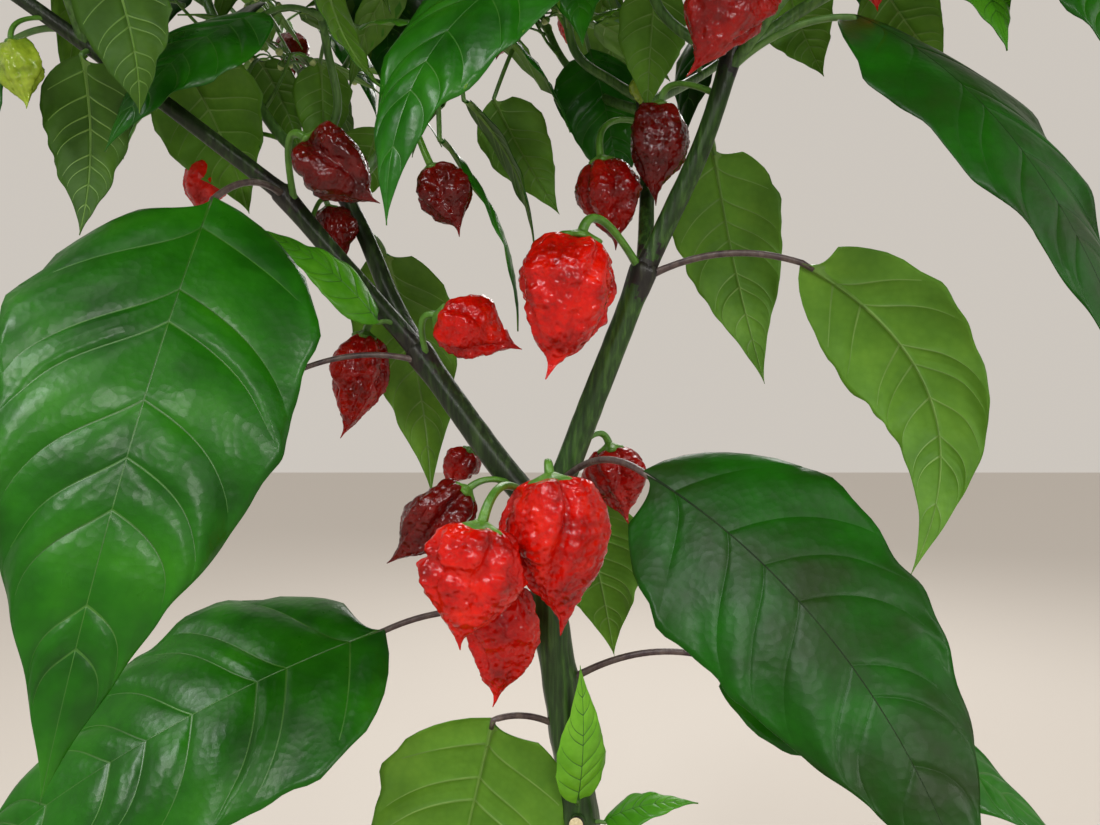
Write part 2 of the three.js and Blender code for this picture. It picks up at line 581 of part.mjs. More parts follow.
for (const [name, on, share, base, tip, width, face, bow] of LEAVES) {
  const stem = stems.get(on);
  const node = on.startsWith("foliage") ? stem.node : name;
  const foot = stem.curve.getPointAt(share);
  const leaf = { node, owner: name, foot, base: vec(base), tip: vec(tip), width, face: vec(face) };
  leaf.bow = bow && vec(bow);
  leaf.fine = node === name || width > 40;
  leaves.push(leaf);
  standing.push(leafRoom(leaf));
}
for (const [name, on, share, top, tail, width, tone] of PODS) {
  const stem = stems.get(on);
  const node = on.startsWith("foliage") ? stem.node : name;
  const face = new THREE.Vector3(0, -1, 0.01);
  const foot = stem.curve.getPointAt(share);
  const pod = { node, owner: name, foot, top: vec(top), tail: vec(tail), width, face, tone };
  pod.fine = width > 22;
  pods.push(pod);
  standing.push(podRoom(pod));
}
MASSES.forEach(([name, , , , , forks], index) => growShoots(name, SEED + 101 * index, forks));

// Solids: each node is the union of its stems, leaves and pods, cut clear of the limbs that it grows from
const limbNames = ["main_stem", ...LIMBS.map((limb) => limb[0])];
const plant = new THREE.Group();

function finish(name, manifold, look) {
  const material = new THREE.MeshStandardMaterial({ ...FINISH[look], metalness: 0, name: look });
  const mesh = new THREE.Mesh(geometryFromSolid(manifold), material);
  mesh.name = name;
  plant.add(mesh);
}

function cutClear(manifold, cutters) {
  const cut = cutters.reduce((rest, cutter) => rest.subtract(cutter), manifold);
  return largestPiece(cut.simplify(JOINT_DETAIL));
}

const cutters = [];
for (const name of limbNames) {
  const stem = stems.get(name);
  finish(name, cutClear(stemSolid(stem), cutters), "bark");
  cutters.push(stemSolid(stem, GAP));
}
for (const [name] of MASSES) {
  const parts = [...stems.values()].filter((s) => s.node === name).map((s) => stemSolid(s));
  parts.push(...leaves.filter((l) => l.node === name).map((l) => leafSolid(l)));
  parts.push(...pods.filter((p) => p.node === name).map((p) => podSolid(p)));
  finish(name, cutClear(wasm.Manifold.union(parts), cutters), "leaf");
  cutters.push(stemSolid(stems.get(name), GAP));
}
for (const leaf of leaves.filter((l) => l.node === l.owner)) {
  finish(leaf.node, cutClear(leafSolid(leaf), cutters), "leaf");
}
for (const pod of pods.filter((p) => p.node === p.owner)) {
  finish(pod.node, cutClear(podSolid(pod), cutters), pod.tone);
}

// Pot: an open tapered shell with a band round its rim, filled with soil
function wallRadius(height) {
  return THREE.MathUtils.lerp(POT.footRadius, POT.rimRadius - BAND.step, height / POT.height);
}

function turned(profile) {
  const points = profile.map(([radius, height]) => new THREE.Vector2(radius, height));
  const geometry = new THREE.LatheGeometry(points, POT.sides);
  geometry.rotateX(Math.PI / 2);
  return solidFromGeometry(geometry);
}

function potSolid() {
  const band = POT.height - BAND.height;
  return turned([
    [0, 0],
    [POT.footRadius - 2, 0],
    [POT.footRadius, 2],
    [wallRadius(band), band],
    [wallRadius(band) + BAND.step, band + 3],
    [POT.rimRadius, POT.height - 3],
    [POT.rimRadius - 3, POT.height],
    [wallRadius(POT.height) - POT.wall + 2, POT.height],
    [wallRadius(POT.height - 3) - POT.wall, POT.height - 3],
    [wallRadius(POT.floor) - POT.wall, POT.floor],
    [0, POT.floor],
  ]);
}

function soilSolid() {
  const low = POT.floor + GAP;
  const edge = SOIL_TOP - SOIL_SAG;
  const reach = (height) => wallRadius(height) - POT.wall - 2 * GAP;
  return turned([
    [0, low],
    [reach(low), low],
    [reach(edge), edge],
    [SOIL_FLAT_RADIUS, SOIL_TOP],
    [0, SOIL_TOP],
  ]);
}

finish("pot", potSolid(), "clay");
finish("soil", soilSolid(), "soil");

export default plant;
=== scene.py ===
# The looks of a fruiting chilli pepper plant in a plain clay pot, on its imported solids.
# The plant grows here in millimetres, by the same named sizes and the same seeded rule as the solids,
# and goes on to finer twigs and buds within the same reach. Meshes are in metres, with +Z up, and the
# side that the photograph shows faces -Y.
import math
from types import SimpleNamespace as Thing

import bpy
import numpy as np
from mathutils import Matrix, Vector


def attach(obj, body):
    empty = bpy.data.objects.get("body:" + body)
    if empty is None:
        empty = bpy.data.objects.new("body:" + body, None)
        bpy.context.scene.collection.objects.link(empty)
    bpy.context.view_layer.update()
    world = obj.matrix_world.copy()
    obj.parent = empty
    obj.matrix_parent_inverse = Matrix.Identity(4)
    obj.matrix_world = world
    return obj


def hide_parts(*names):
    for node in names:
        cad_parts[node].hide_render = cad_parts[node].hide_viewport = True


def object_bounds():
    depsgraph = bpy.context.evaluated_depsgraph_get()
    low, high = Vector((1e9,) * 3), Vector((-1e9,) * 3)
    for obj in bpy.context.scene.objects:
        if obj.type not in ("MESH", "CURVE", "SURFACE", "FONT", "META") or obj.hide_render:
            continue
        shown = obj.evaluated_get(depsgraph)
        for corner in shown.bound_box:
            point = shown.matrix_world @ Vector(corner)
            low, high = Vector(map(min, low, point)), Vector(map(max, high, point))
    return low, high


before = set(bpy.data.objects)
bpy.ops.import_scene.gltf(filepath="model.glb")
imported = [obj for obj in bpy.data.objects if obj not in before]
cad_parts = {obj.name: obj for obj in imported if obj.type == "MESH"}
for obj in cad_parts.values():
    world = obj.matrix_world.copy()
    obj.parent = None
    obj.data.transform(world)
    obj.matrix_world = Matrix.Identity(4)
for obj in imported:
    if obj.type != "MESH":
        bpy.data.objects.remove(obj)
cad_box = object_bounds()

MM = 0.001

# Pot and soil
POT = Thing(height=220, rim_radius=128, foot_radius=88, wall=8, floor=10)
BAND = Thing(height=34, step=6)  # the thicker band round the pot's rim
SOIL_TOP = POT.height - 25
SOIL_SAG = 4  # how much lower the soil lies at the pot's wall
POT_SIDES, SOIL_SIDES = 144, 120
CRUMBS = Thing(count=620, seed=404, looks=("crumb", "crumb", "bark_chip", "grain"))

# Stem
STEM_RADII = (8.5, 6.0)  # at the soil and at the fork
FLARE = Thing(height=30, extra=6.5)  # root flare above the soil
FORK = (-2, 0, 470)
STEM_COURSE = [(3, 0, SOIL_TOP + 0.3), (10, 0, 270), (11, 0, 352), (5, 0, 400), (-1, 0, 438), FORK]

# Foliage
LEAF_ARCH = 0.1  # how far a midrib bows above its chord, as a share of the blade's length
LEAF_CUP = -0.14  # how far the margins lie below the midrib, as a share of the half width
PETIOLE_RADIUS = Thing(shown=1.3, seeded=0.8)  # of the stalks of the longest leaves
ROOT_SUNK = 2.2  # how deep a seeded shoot's foot lies in the shoot that it grows on
POD_DEPTH = 0.76  # a pod's depth, as a share of its width

# Where the plant stands open: a cone from the viewer's eye round the fork, with no seeded growth in it
EYE = (0, -330, 510)
OPENING = Thing(side=0.66, below=0.52, above=0.3, right=0.28, above_right=0.46)

# Seeded growth: the room that each kind keeps to itself, and how shoots, leaves and pods follow each other
CLEAR = Thing(blade=3.5, twig=2, pod=2)
SEED = Thing(first=719, shoots=101, finer=53)  # and the steps from one mass's seed to the next
SHOOT = Thing(length=80, shorter=0.8, thinner=0.88, outward=0.1, climb=0.35, spread=24, tries=4, first=0.85)
NEXT_PLANE = 84  # degrees from the plane of one fork to that of the next
SEEDED_LEAF = Thing(length=118, droop=60, less_per_fork=14, tries=3, retry=40, sway=50, stalk=0.2, width=0.4)
SEEDED_POD = Thing(share=0.35, width=20, tries=2, retry=120, sway=60, stalk=16)
FEET = Thing(pod=11, leaf=5, second_leaf=9)  # how far below a shoot's end each grows
SIDES = Thing(pod=150, leaf=35, second_leaf=150)  # degrees from the way that the shoot faces
END_CLUSTER = [(9, 120, 0.62, 15), (1, -110, 0.5, 0)]  # below the end, degrees, share of a leaf's size, droop
SEEDED_TONES = ("red", "deep", "maroon", "red")
REACH = Thing(centre=(-10, 20, 655), radii=(325, 270, 285))  # no seeded growth goes past this ellipsoid

# Finer growth, which the solids leave out: side shoots with small leaves, and buds at their ends
BOX_MARGIN = 5  # how far the finer growth stays inside the frame's box
FINER = Thing(length=42, leaf=58, clear=1.2, radius=0.75)
FINER_PLACES = Thing(shoots=(0.45, 0.75, 1.0), leaves=(0.62, 0.82, 0.97, 1.0))  # shares along what bears them
LEAF_TURN = 137  # degrees from each leaf of a side shoot to the next
BUD = Thing(length=4.2, width=3.4, stalk=8)

# Limbs, from the main stem outwards: name, limb it grows from, share along it, further points, radii
LIMBS = [
    ("left_bough", "main_stem", 1, [(-17, 2, 487), (-38, 8, 515), (-52, 14, 534)], (5.2, 4.7)),
    ("right_bough", "main_stem", 1, [(6, -1, 488), (16, -3, 514), (29, -6, 547), (35, -8, 563)], (5.0, 4.4)),
    ("left_outer", "left_bough", 1, [(-79, 12, 565), (-105, 8, 596)], (4.0, 3.5)),
    ("left_inner", "left_bough", 1, [(-64, 21, 555), (-76, 27, 582), (-88, 32, 605)], (3.8, 3.2)),
    (
        "right_outer", "right_bough", 1,
        [(45, -11, 584), (55, -15, 606), (62, -18, 627), (66, -20, 641)], (3.9, 3.3),
    ),
    ("right_inner", "right_bough", 1, [(37, 4, 580), (39, 18, 602), (40, 38, 643)], (3.1, 2.7)),
    ("left_far", "left_outer", 1, [(-147, 0, 628), (-173, -12, 647), (-212, -30, 674)], (3.3, 2.5)),
]

# Masses of foliage: name, limb, share along it, further points, radii, forks
MASSES = [
    ("foliage_back", "right_inner", 0.93, [(22, 64, 655), (6, 108, 690), (-2, 122, 712)], (2.2, 1.8), 3),
    (
        "foliage_centre", "right_inner", 1,
        [(28, 42, 652), (11, 48, 668), (6, 46, 704), (4, 34, 734)], (2.2, 1.7), 3,
    ),
    (
        "foliage_right_twig", "right_outer", 0.96,
        [(55, -14, 645), (40, -8, 662), (32, -10, 700), (30, -22, 736)], (2.0, 1.6), 2,
    ),
    ("foliage_right_top", "right_outer", 0.98, [(74, -20, 664), (82, -8, 712)], (2.3, 1.8), 3),
    ("foliage_right_back", "right_inner", 0.97, [(72, 72, 668), (104, 104, 700)], (2.4, 1.8), 3),
    ("foliage_right_front", "right_outer", 0.9, [(96, -50, 668), (138, -84, 690)], (2.2, 1.7), 2),
    (
        "foliage_far_right", "right_outer", 0.93,
        [(90, -14, 656), (124, -10, 676), (166, 2, 700)], (2.5, 1.9), 3,
    ),
    ("foliage_front", "right_outer", 1, [(56, -42, 668), (38, -66, 710)], (2.1, 1.7), 3),
    (
        "foliage_left_top", "left_inner", 0.94,
        [(-71, 37, 622), (-57, 41, 653), (-46, 50, 700), (-44, 52, 726)], (2.4, 1.8), 3,
    ),
    (
        "foliage_left_back", "left_inner", 0.9,
        [(-98, 62, 620), (-112, 108, 655), (-118, 132, 682)], (2.6, 1.9), 3,
    ),
    (
        "foliage_left_middle", "left_inner", 1,
        [(-114, 38, 627), (-137, 45, 662), (-152, 52, 692)], (2.6, 1.9), 3,
    ),
    (
        "foliage_left_shoot", "left_inner", 0.97,
        [(-95, 36, 622), (-91, 40, 641), (-94, 34, 664), (-96, 8, 700)], (2.0, 1.5), 2,
    ),
    ("foliage_left_front", "left_far", 0.62, [(-170, -42, 678), (-158, -70, 705)], (2.2, 1.7), 3),
    ("foliage_far_left", "left_far", 1, [(-232, -34, 700)], (2.3, 1.9), 3),
]

# Leaves that the photograph shows: name, what it grows on, share along that, base of the blade, tip, width,
# the way its upper side faces, the tone of its upper side, and how its midrib bows where that isn't along
# the upper side
LEAVES = [
    ("leaf_left_front", "left_outer", 0.98, (-114, -38, 583), (-139, -95, 403), 88, (0.35, -1, 0.3), "mid"),
    (
        "leaf_right_front", "right_bough", 0.14,
        (30, -52, 491), (101, -132, 383), 67, (-0.2, -1, 0.5), "dark", (12, -10, 9),
    ),
    ("leaf_left_low", "main_stem", 0.845, (-62, -7, 429), (-204, -46, 350), 84, (0.1, -0.75, 0.8), "mid"),
    ("leaf_right_long", "right_outer", 0.9, (102, -40, 644), (152, -112, 505), 52, (0.3, -0.8, 0.5), "dark"),
    (
        "leaf_right_middle", "right_bough", 0.96,
        (89, -25, 563), (122, -38, 455), 44, (0.35, 0.9, 0.2), "light", (26, 0, 6),
    ),
    ("leaf_right_back", "right_outer", 0.6, (66, 20, 618), (90, 32, 522), 46, (0, 1, 0.3), "mid"),
    ("leaf_left_back", "left_inner", 0.7, (-72, 44, 581), (-53, 56, 473), 48, (0.2, 1, 0.3), "light"),
    ("leaf_fork_back", "main_stem", 0.955, (11, 24, 476), (28, 46, 404), 50, (0.2, 1, 0.2), "light"),
    ("leaf_stem_left", "main_stem", 0.7, (-21, -8, 396), (-46, -26, 284), 74, (0, 1, 0.2), "mid"),
    ("leaf_stem_right", "main_stem", 0.765, (62, -12, 420), (163, -64, 372), 58, (0.2, -0.5, 1), "mid"),
    ("leaf_stem_young", "main_stem", 0.585, (10, -12, 366), (11, -16, 418), 19, (0.3, -1, 0), "young"),
    ("leaf_stem_small", "main_stem", 0.56, (20, -7, 357), (54, -16, 368), 16, (0, -0.4, 1), "light"),
    ("leaf_left_behind", "left_bough", 0.93, (-106, -4, 521), (-152, -16, 462), 40, (0.2, -1, 0.4), "dark"),
    ("leaf_left_young", "left_outer", 0.16, (-66, 4, 545), (-112, -4, 580), 22, (-0.4, -0.6, 1), "light"),
    # The dark tone of leaf_left_hanging and leaf_dark also darkens their under sides, which face the viewer:
    # painted shade where they hang in shadow
    ("leaf_left_hanging", "left_far", 0.6, (-171, -14, 641), (-170, -18, 574), 34, (0, 1, 0.3), "dark"),
    ("leaf_left_edge", "left_far", 0.68, (-206, -12, 642), (-238, -22, 560), 44, (-0.2, -1, 0.5), "mid"),
    ("leaf_dark", "foliage_left_front", 0.35, (-146, -46, 662), (-132, -52, 606), 32, (0, 1, 0.3), "dark"),
    (
        "leaf_folded", "foliage_left_shoot", 0.7,
        (-112, 6, 666), (-157, -26, 602), 42, (0.2, -0.6, 1), "mid",
    ),
    ("leaf_broad", "foliage_left_middle", 0.5, (-156, 34, 660), (-124, 26, 592), 50, (0, 1, 0.3), "mid"),
    ("leaf_middle_1", "foliage_left_middle", 0.6, (-130, 56, 668), (-114, 64, 628), 26, (0.3, 1, 0.4), "mid"),
    ("leaf_middle_2", "foliage_left_shoot", 0.62, (-101, 50, 664), (-101, 50, 618), 26, (0, 1, 0.4), "light"),
    ("leaf_middle_3", "foliage_left_top", 0.4, (-75, 46, 634), (-91, 58, 600), 26, (0, 1, 0.4), "mid"),
    ("leaf_narrow", "foliage_left_shoot", 0.9, (-88, 4, 682), (-62, -4, 631), 20, (-1, 0.5, 0.3), "mid"),
    ("leaf_level", "foliage_left_shoot", 0.66, (-80, 34, 673), (-49, 26, 668), 22, (0, -0.5, 1), "light"),
    ("leaf_blade_1", "foliage_left_top", 0.6, (-43, 12, 619), (-12, 0, 541), 24, (1, -0.1, 0.2), "mid"),
    ("leaf_blade_2", "foliage_left_top", 0.75, (-35, 27, 640), (-6, 20, 574), 20, (1, 0.2, 0.2), "dark"),
    ("leaf_blade_3", "foliage_centre", 0.7, (-24, 36, 643), (4, 36, 594), 30, (-0.3, 1, 0.4), "light"),
    ("leaf_round", "foliage_centre", 0.66, (18, 64, 676), (33, 64, 603), 42, (0, -1, 0.5), "mid"),
    ("leaf_bud_side", "foliage_centre", 0.8, (14, 44, 678), (35, 38, 682), 16, (0, -0.6, 1), "young"),
    ("leaf_twig", "foliage_right_twig", 0.85, (42, 12, 681), (39, 16, 630), 28, (0, 1, 0.3), "mid"),
    ("leaf_top_right", "foliage_right_top", 0.55, (90, -2, 672), (106, 4, 640), 28, (0, 1, 0.3), "mid"),
    (
        "leaf_centre_top", "foliage_front", 0.5,
        (12, -46, 665), (-49, -72, 566), 50, (-0.4, -1, 0.6), "mid", (-16, -6, 8),
    ),
    (
        "leaf_far_right_1", "foliage_far_right", 0.45,
        (126, -42, 668), (139, -68, 620), 34, (0.3, -1, 0.5), "light",
    ),
    (
        "leaf_far_right_2", "foliage_far_right", 0.65,
        (150, -48, 672), (165, -84, 602), 38, (0.3, -1, 0.5), "mid",
    ),
    ("leaf_far_right_3", "foliage_far_right", 0.35, (118, -18, 668), (142, -22, 632), 30, (0, 1, 0.3), "mid"),
]

# Pods that the photograph shows: name, what it hangs on, share along that, top, tail's tip, width, tone
PODS = [
    ("pod_fork_front", "right_bough", 0.05, (0, -24, 487), (6, -25, 431), 38, "red"),
    ("pod_fork_left", "left_bough", 0.07, (-23, -40, 472), (-32, -42, 431), 36, "red"),
    ("pod_fork_low", "main_stem", 0.93, (-16, -15, 447), (-19, -15, 402), 28, "red"),
    ("pod_fork_dark", "left_bough", 0.16, (-31, -8, 481), (-60, -10, 453), 24, "maroon"),
    ("pod_fork_small", "left_bough", 0.24, (-32, 19, 495), (-43, 21, 480), 16, "deep"),
    ("pod_fork_back", "right_bough", 0.24, (24, 17, 496), (31, 18, 465), 26, "deep"),
    ("pod_left_node", "left_bough", 0.97, (-76, 25, 542), (-84, 24, 499), 25, "deep"),
    ("pod_middle", "left_bough", 0.9, (-43, 2, 547), (-11, 1, 534), 26, "red"),
    ("pod_right_node", "right_bough", 0.985, (11, -28, 572), (0, -30, 521), 37, "red"),
    ("pod_hanging_left", "right_inner", 0.86, (20, 8, 609), (27, 8, 574), 25, "deep"),
    ("pod_hanging_right", "right_outer", 0.8, (42, -2, 627), (40, -2, 589), 24, "maroon"),
    ("pod_top", "right_outer", 0.97, (66, -46, 661), (47, -46, 620), 30, "deep"),
    ("pod_left_tail", "left_outer", 0.9, (-90, -10, 611), (-64, -11, 586), 27, "maroon"),
    ("pod_left_under", "left_outer", 0.8, (-91, 25, 594), (-85, 25, 570), 20, "maroon"),
    ("pod_unripe", "left_far", 0.72, (-189, -27, 640), (-182, -28, 616), 17, "unripe"),
    ("pod_behind_leaf", "foliage_left_top", 0.5, (-45, -2, 603), (-33, -4, 577), 23, "maroon"),
    ("pod_glimpse", "foliage_left_middle", 0.3, (-146, 42, 619), (-153, 42, 594), 20, "red"),
    ("pod_far_right", "foliage_far_right", 0.3, (112, -32, 670), (112, -34, 647), 16, "red"),
    ("pod_set", "foliage_centre", 0.08, (38, 26, 648), (37, 25, 636), 11, "unripe"),
]
# Leaves with a purple stalk, as the photograph shows low on the plant
PURPLE_STALKS = {
    "leaf_left_front", "leaf_right_front", "leaf_left_low", "leaf_right_middle", "leaf_left_behind",
    "leaf_stem_left", "leaf_stem_right",
}


# Points and curves
def vec(values):
    return np.array(values, float)


UP = vec((0, 0, 1))


def unit(vector):
    return vector / np.linalg.norm(vector)


def across(vector, along):
    """The part of a vector that stands square to a direction, one long."""
    return unit(vector - along * np.dot(vector, along))


def mix(a, b, t):
    return a + (b - a) * t


def heading(degrees, rise):
    """One long, at an angle round the plant from +X and an angle above the level."""
    turn, climb = math.radians(degrees), math.radians(rise)
    return vec((math.cos(climb) * math.cos(turn), math.cos(climb) * math.sin(turn), math.sin(climb)))


def bearing(direction):
    """A direction's angle round the plant from +X, in degrees."""
    return math.degrees(math.atan2(direction[1], direction[0]))


class Course:
    """A smooth curve through points, the centripetal one that the solids' stems follow."""

    STEPS = 200

    def __init__(self, points):
        self.points = [vec(p) for p in points]
        self.shares = np.linspace(0, 1, self.STEPS + 1)
        table = np.array([self.at(t) for t in self.shares])
        self.reach = np.concatenate([[0], np.cumsum(np.linalg.norm(np.diff(table, axis=0), axis=1))])
        self.length = self.reach[-1]

    def at(self, t):
        points, last = self.points, len(self.points) - 1
        i = min(int(last * t), last - 1)
        weight = last * t - i
        p1, p2 = points[i], points[i + 1]
        p0 = points[i - 1] if i > 0 else 2 * points[0] - points[1]
        p3 = points[i + 2] if i + 2 <= last else 2 * points[last] - points[last - 1]
        d0, d1, d2 = (np.dot(b - a, b - a) ** 0.25 for a, b in ((p0, p1), (p1, p2), (p2, p3)))
        t1 = ((p1 - p0) / d0 - (p2 - p0) / (d0 + d1) + (p2 - p1) / d1) * d1
        t2 = ((p2 - p1) / d1 - (p3 - p1) / (d1 + d2) + (p3 - p2) / d2) * d1
        square = -3 * p1 + 3 * p2 - 2 * t1 - t2
        cube = 2 * p1 - 2 * p2 + t1 + t2
        return p1 + t1 * weight + square * weight**2 + cube * weight**3

    def share_at(self, u):
        return float(np.interp(u * self.length, self.reach, self.shares))

    def point(self, u):
        return self.at(self.share_at(u))

    def tangent(self, u):
        t = self.share_at(u)
        return unit(self.at(min(t + 1e-4, 1)) - self.at(max(t - 1e-4, 0)))


class Arc:
    """A curve from a start to an end, drawn towards a bend between them. It takes one share or many."""

    def __init__(self, start, bend, end):
        self.start, self.bend, self.end = start, bend, end

    def point(self, t):
        t = np.asarray(t, float)[..., None]
        return (1 - t) ** 2 * self.start + 2 * (1 - t) * t * self.bend + t**2 * self.end

    def tangent(self, t):
        t = np.asarray(t, float)[..., None]
        slope = (1 - t) * (self.bend - self.start) + t * (self.end - self.bend)
        return slope / np.linalg.norm(slope, axis=-1, keepdims=True)


def sideways(tangents, face):
    """For each tangent, the direction that faces out and the one to its side."""
    out = face - tangents * (tangents @ face)[..., None]
    out = out / np.linalg.norm(out, axis=-1, keepdims=True)
    return out, np.cross(tangents, out)


# Seeded growth, by the rule of the solids
def seeded(seed):
    """Numbers from 0 to 1 in a fixed order."""
    state = [seed]

    def draw():
        state[0] = (state[0] * 1664525 + 1013904223) % 2**32
        return state[0] / 2**32

    return draw


def sway(draw, most):
    """A drawn number, as far below 0 as above it."""
    return most * (draw() - 0.5)


stems, leaves, pods, buds = {}, [], [], []


def add_stem(name, node, points, radii, kind):
    stems[name] = Thing(name=name, node=node, course=Course(points), radii=radii, kind=kind)


def grow_limb(name, on, share, further, radii, kind="limb"):
    add_stem(name, name, [stems[on].course.point(share), *further], radii, kind)


def blade_share(t):
    """A blade's width along its length: ovate, widest nearer the base, with a drawn-out tip."""
    return np.power(t, 0.6) * np.power(1 - t, 1.4) / 0.295


def leaf_length(leaf):
    return np.linalg.norm(leaf.tip - leaf.base)


def blade_curve(leaf):
    chord = leaf.tip - leaf.base
    bow = leaf.bow
    if bow is None:
        bow = across(leaf.face, unit(chord)) * LEAF_ARCH * leaf_length(leaf)
    return Arc(leaf.base, mix(leaf.base, leaf.tip, 0.5) + 2 * bow, leaf.tip)


def petiole_curve(leaf):
    rise = 0.22 * np.linalg.norm(leaf.base - leaf.foot)
    return Arc(leaf.foot, mix(leaf.foot, leaf.base, 0.5) + UP * rise, leaf.base)


def pedicel_curve(pod):
    along = unit(pod.tail - pod.top)
    return Arc(pod.foot, pod.top - along * 0.55 * np.linalg.norm(pod.top - pod.foot), pod.top)


class Standing:
    """What stands already, which seeded growth keeps clear of."""

    def __init__(self):
        self.bodies = []

    def add(self, body):
        self.bodies.append(body)

    def clashes(self, body, ignored):
        middles = np.array([other.middle for other in self.bodies])
        spans = np.array([other.span for other in self.bodies])
        near = np.linalg.norm(middles - body.middle, axis=1) <= spans + body.span
        for i in np.flatnonzero(near):
            other = self.bodies[i]
            if other.owner == ignored:
                continue
            apart = body.points[:, None] - other.points[None]
            if (apart**2).sum(-1).min() < (other.radius + body.radius) ** 2:
                return True
        return False


standing = Standing()
box = Thing(low=vec((-math.inf,) * 3), high=vec((math.inf,) * 3))  # the box that growth keeps to


def body_of(owner, points, radius):
    points = np.array(points)
    middle = points.mean(axis=0)
    span = np.linalg.norm(points - middle, axis=1).max() + radius
    return Thing(owner=owner, points=points, radius=radius, middle=middle, span=span)


def leaf_room(leaf, clear=CLEAR.blade):
    blade = blade_curve(leaf)
    t = 0.04 + 0.1 * np.arange(10)
    out, side = sideways(blade.tangent(t), leaf.face)
    half = (leaf.width / 2 * blade_share(t))[:, None, None]
    shares = vec((-1, -0.66, -0.33, 0, 0.33, 0.66, 1))[None, :, None]
    cup = out[:, None] * LEAF_CUP * half * abs(shares)
    rows = blade.point(t)[:, None] + cup + side[:, None] * half * shares
    points = np.vstack([petiole_curve(leaf).point(vec((0.6, 0.8))), rows.reshape(-1, 3)])
    return body_of(leaf.owner, points, clear)


def pod_room(pod):
    points = [mix(pod.top, pod.tail, t) for t in (0.25, 0.45, 0.7)]
    return body_of(pod.owner, points, pod.width * 0.45 + CLEAR.pod)


def stem_room(stem):
    steps = math.ceil(stem.course.length / 5)
    points = [stem.course.point(i / steps) for i in range(steps + 1)]
    return body_of(stem.name, points, max(stem.radii) + CLEAR.twig)


def out_of_place(points):
    """Whether growth would leave the box or its reach, or cross the opening that the photograph shows."""
    if (points < box.low).any() or (points > box.high).any():
        return True
    if (np.linalg.norm((points - vec(REACH.centre)) / vec(REACH.radii), axis=1) > 1).any():
        return True
    ahead = points[:, 1] - EYE[1]
    if (ahead <= 0).any():
        return True
    side = (points[:, 0] - EYE[0]) / ahead
    height = (points[:, 2] - EYE[2]) / ahead
    top = np.where(side > OPENING.right, OPENING.above_right, OPENING.above)
    return bool(((abs(side) < OPENING.side) & (height > -OPENING.below) & (height < top)).any())


def first_that_fits(tries, ignored, attempt):
    """The first of a few seeded tries that has room, which then stands."""
    for i in range(tries):
        made = attempt(i)
        if out_of_place(made.room.points) or standing.clashes(made.room, ignored):
            continue
        standing.add(made.room)
        return made
    return None


def seed_leaf(node, twig, foot, out, length, droop, draw, clear=CLEAR.blade):
    """A seeded leaf reaches out from its twig and droops."""

    def attempt(i):
        turn = out + SEEDED_LEAF.retry * i * (1 if i % 2 else -1) + sway(draw, SEEDED_LEAF.sway)
        petiole = length * (SEEDED_LEAF.stalk + 0.15 * draw())
        fall = droop + sway(draw, 24)
        base = foot + heading(turn, 28 - 0.3 * fall) * petiole
        tip = base + heading(turn, -fall) * length
        face = heading(turn + sway(draw, SEEDED_LEAF.sway), 60)
        width = length * (SEEDED_LEAF.width + 0.1 * draw())
        leaf = Thing(
            node=node, owner=f"{twig}_leaf", foot=foot, base=base, tip=tip, width=width,
            face=face, bow=None, shown=False,
        )
        return Thing(leaf=leaf, room=leaf_room(leaf, clear))

    made = first_that_fits(SEEDED_LEAF.tries, twig, attempt)
    if made:
        leaves.append(made.leaf)


def seed_pod(node, twig, foot, out, draw):
    """A seeded pod hangs from its node."""

    def attempt(i):
        width = SEEDED_POD.width + 9 * draw()
        turn = out + SEEDED_POD.retry * i + sway(draw, SEEDED_POD.sway)
        top = foot + heading(turn, -30) * (SEEDED_POD.stalk + width * 0.3)
        tail = top + heading(turn, -80) * (width * (1.3 + 0.4 * draw()))
        tone = SEEDED_TONES[int(len(SEEDED_TONES) * draw())]
        pod = Thing(
            node=node, owner=f"{twig}_pod", foot=foot, top=top, tail=tail, width=width,
            face=heading(turn, 0), tone=tone, shown=False,
        )
        return Thing(pod=pod, room=pod_room(pod))

    made = first_that_fits(SEEDED_POD.tries, twig, attempt)
    if made:
        pods.append(made.pod)


def outward_from_fork(point):
    return unit(vec((point[0] - FORK[0], point[1] - FORK[1], 0)))


def seed_shoot(node, name, shoot, side, draw):
    """One arm of a fork, spread to its own side of the shoot and bent towards the light."""
    outward = outward_from_fork(shoot.foot)

    def attempt(i):
        spread = math.radians(side * (SHOOT.spread + 14 * draw() + 4 * i))
        plane = shoot.plane + sway(draw, 30) + 25 * i
        length = shoot.length * (0.8 + 0.25 * draw() - 0.08 * i)
        turned = across(heading(plane, 0), shoot.along)
        along = shoot.along * math.cos(spread) + turned * math.sin(spread)
        along = unit(along + outward * SHOOT.outward + UP * SHOOT.climb)
        tip = shoot.foot + along * length
        root = shoot.foot - shoot.along * ROOT_SUNK
        middle = mix(shoot.foot, tip, 0.5) - UP * 0.04 * length
        points = [mix(shoot.foot, tip, t) for t in (0.2, 0.35, 0.5, 0.65, 0.8, 1)]
        room = body_of(name, points, shoot.radius + CLEAR.twig)
        return Thing(points=[root, middle, tip], along=along, plane=plane, room=room)

    made = first_that_fits(SHOOT.tries, shoot.name, attempt)
    if not made:
        return None
    radius = shoot.radius * SHOOT.thinner
    add_stem(name, node, made.points, (shoot.radius, radius), "twig")
    return Thing(
        name=name, foot=made.points[2], along=made.along, length=shoot.length * SHOOT.shorter,
        radius=radius, plane=made.plane + NEXT_PLANE, out=bearing(outward),
    )


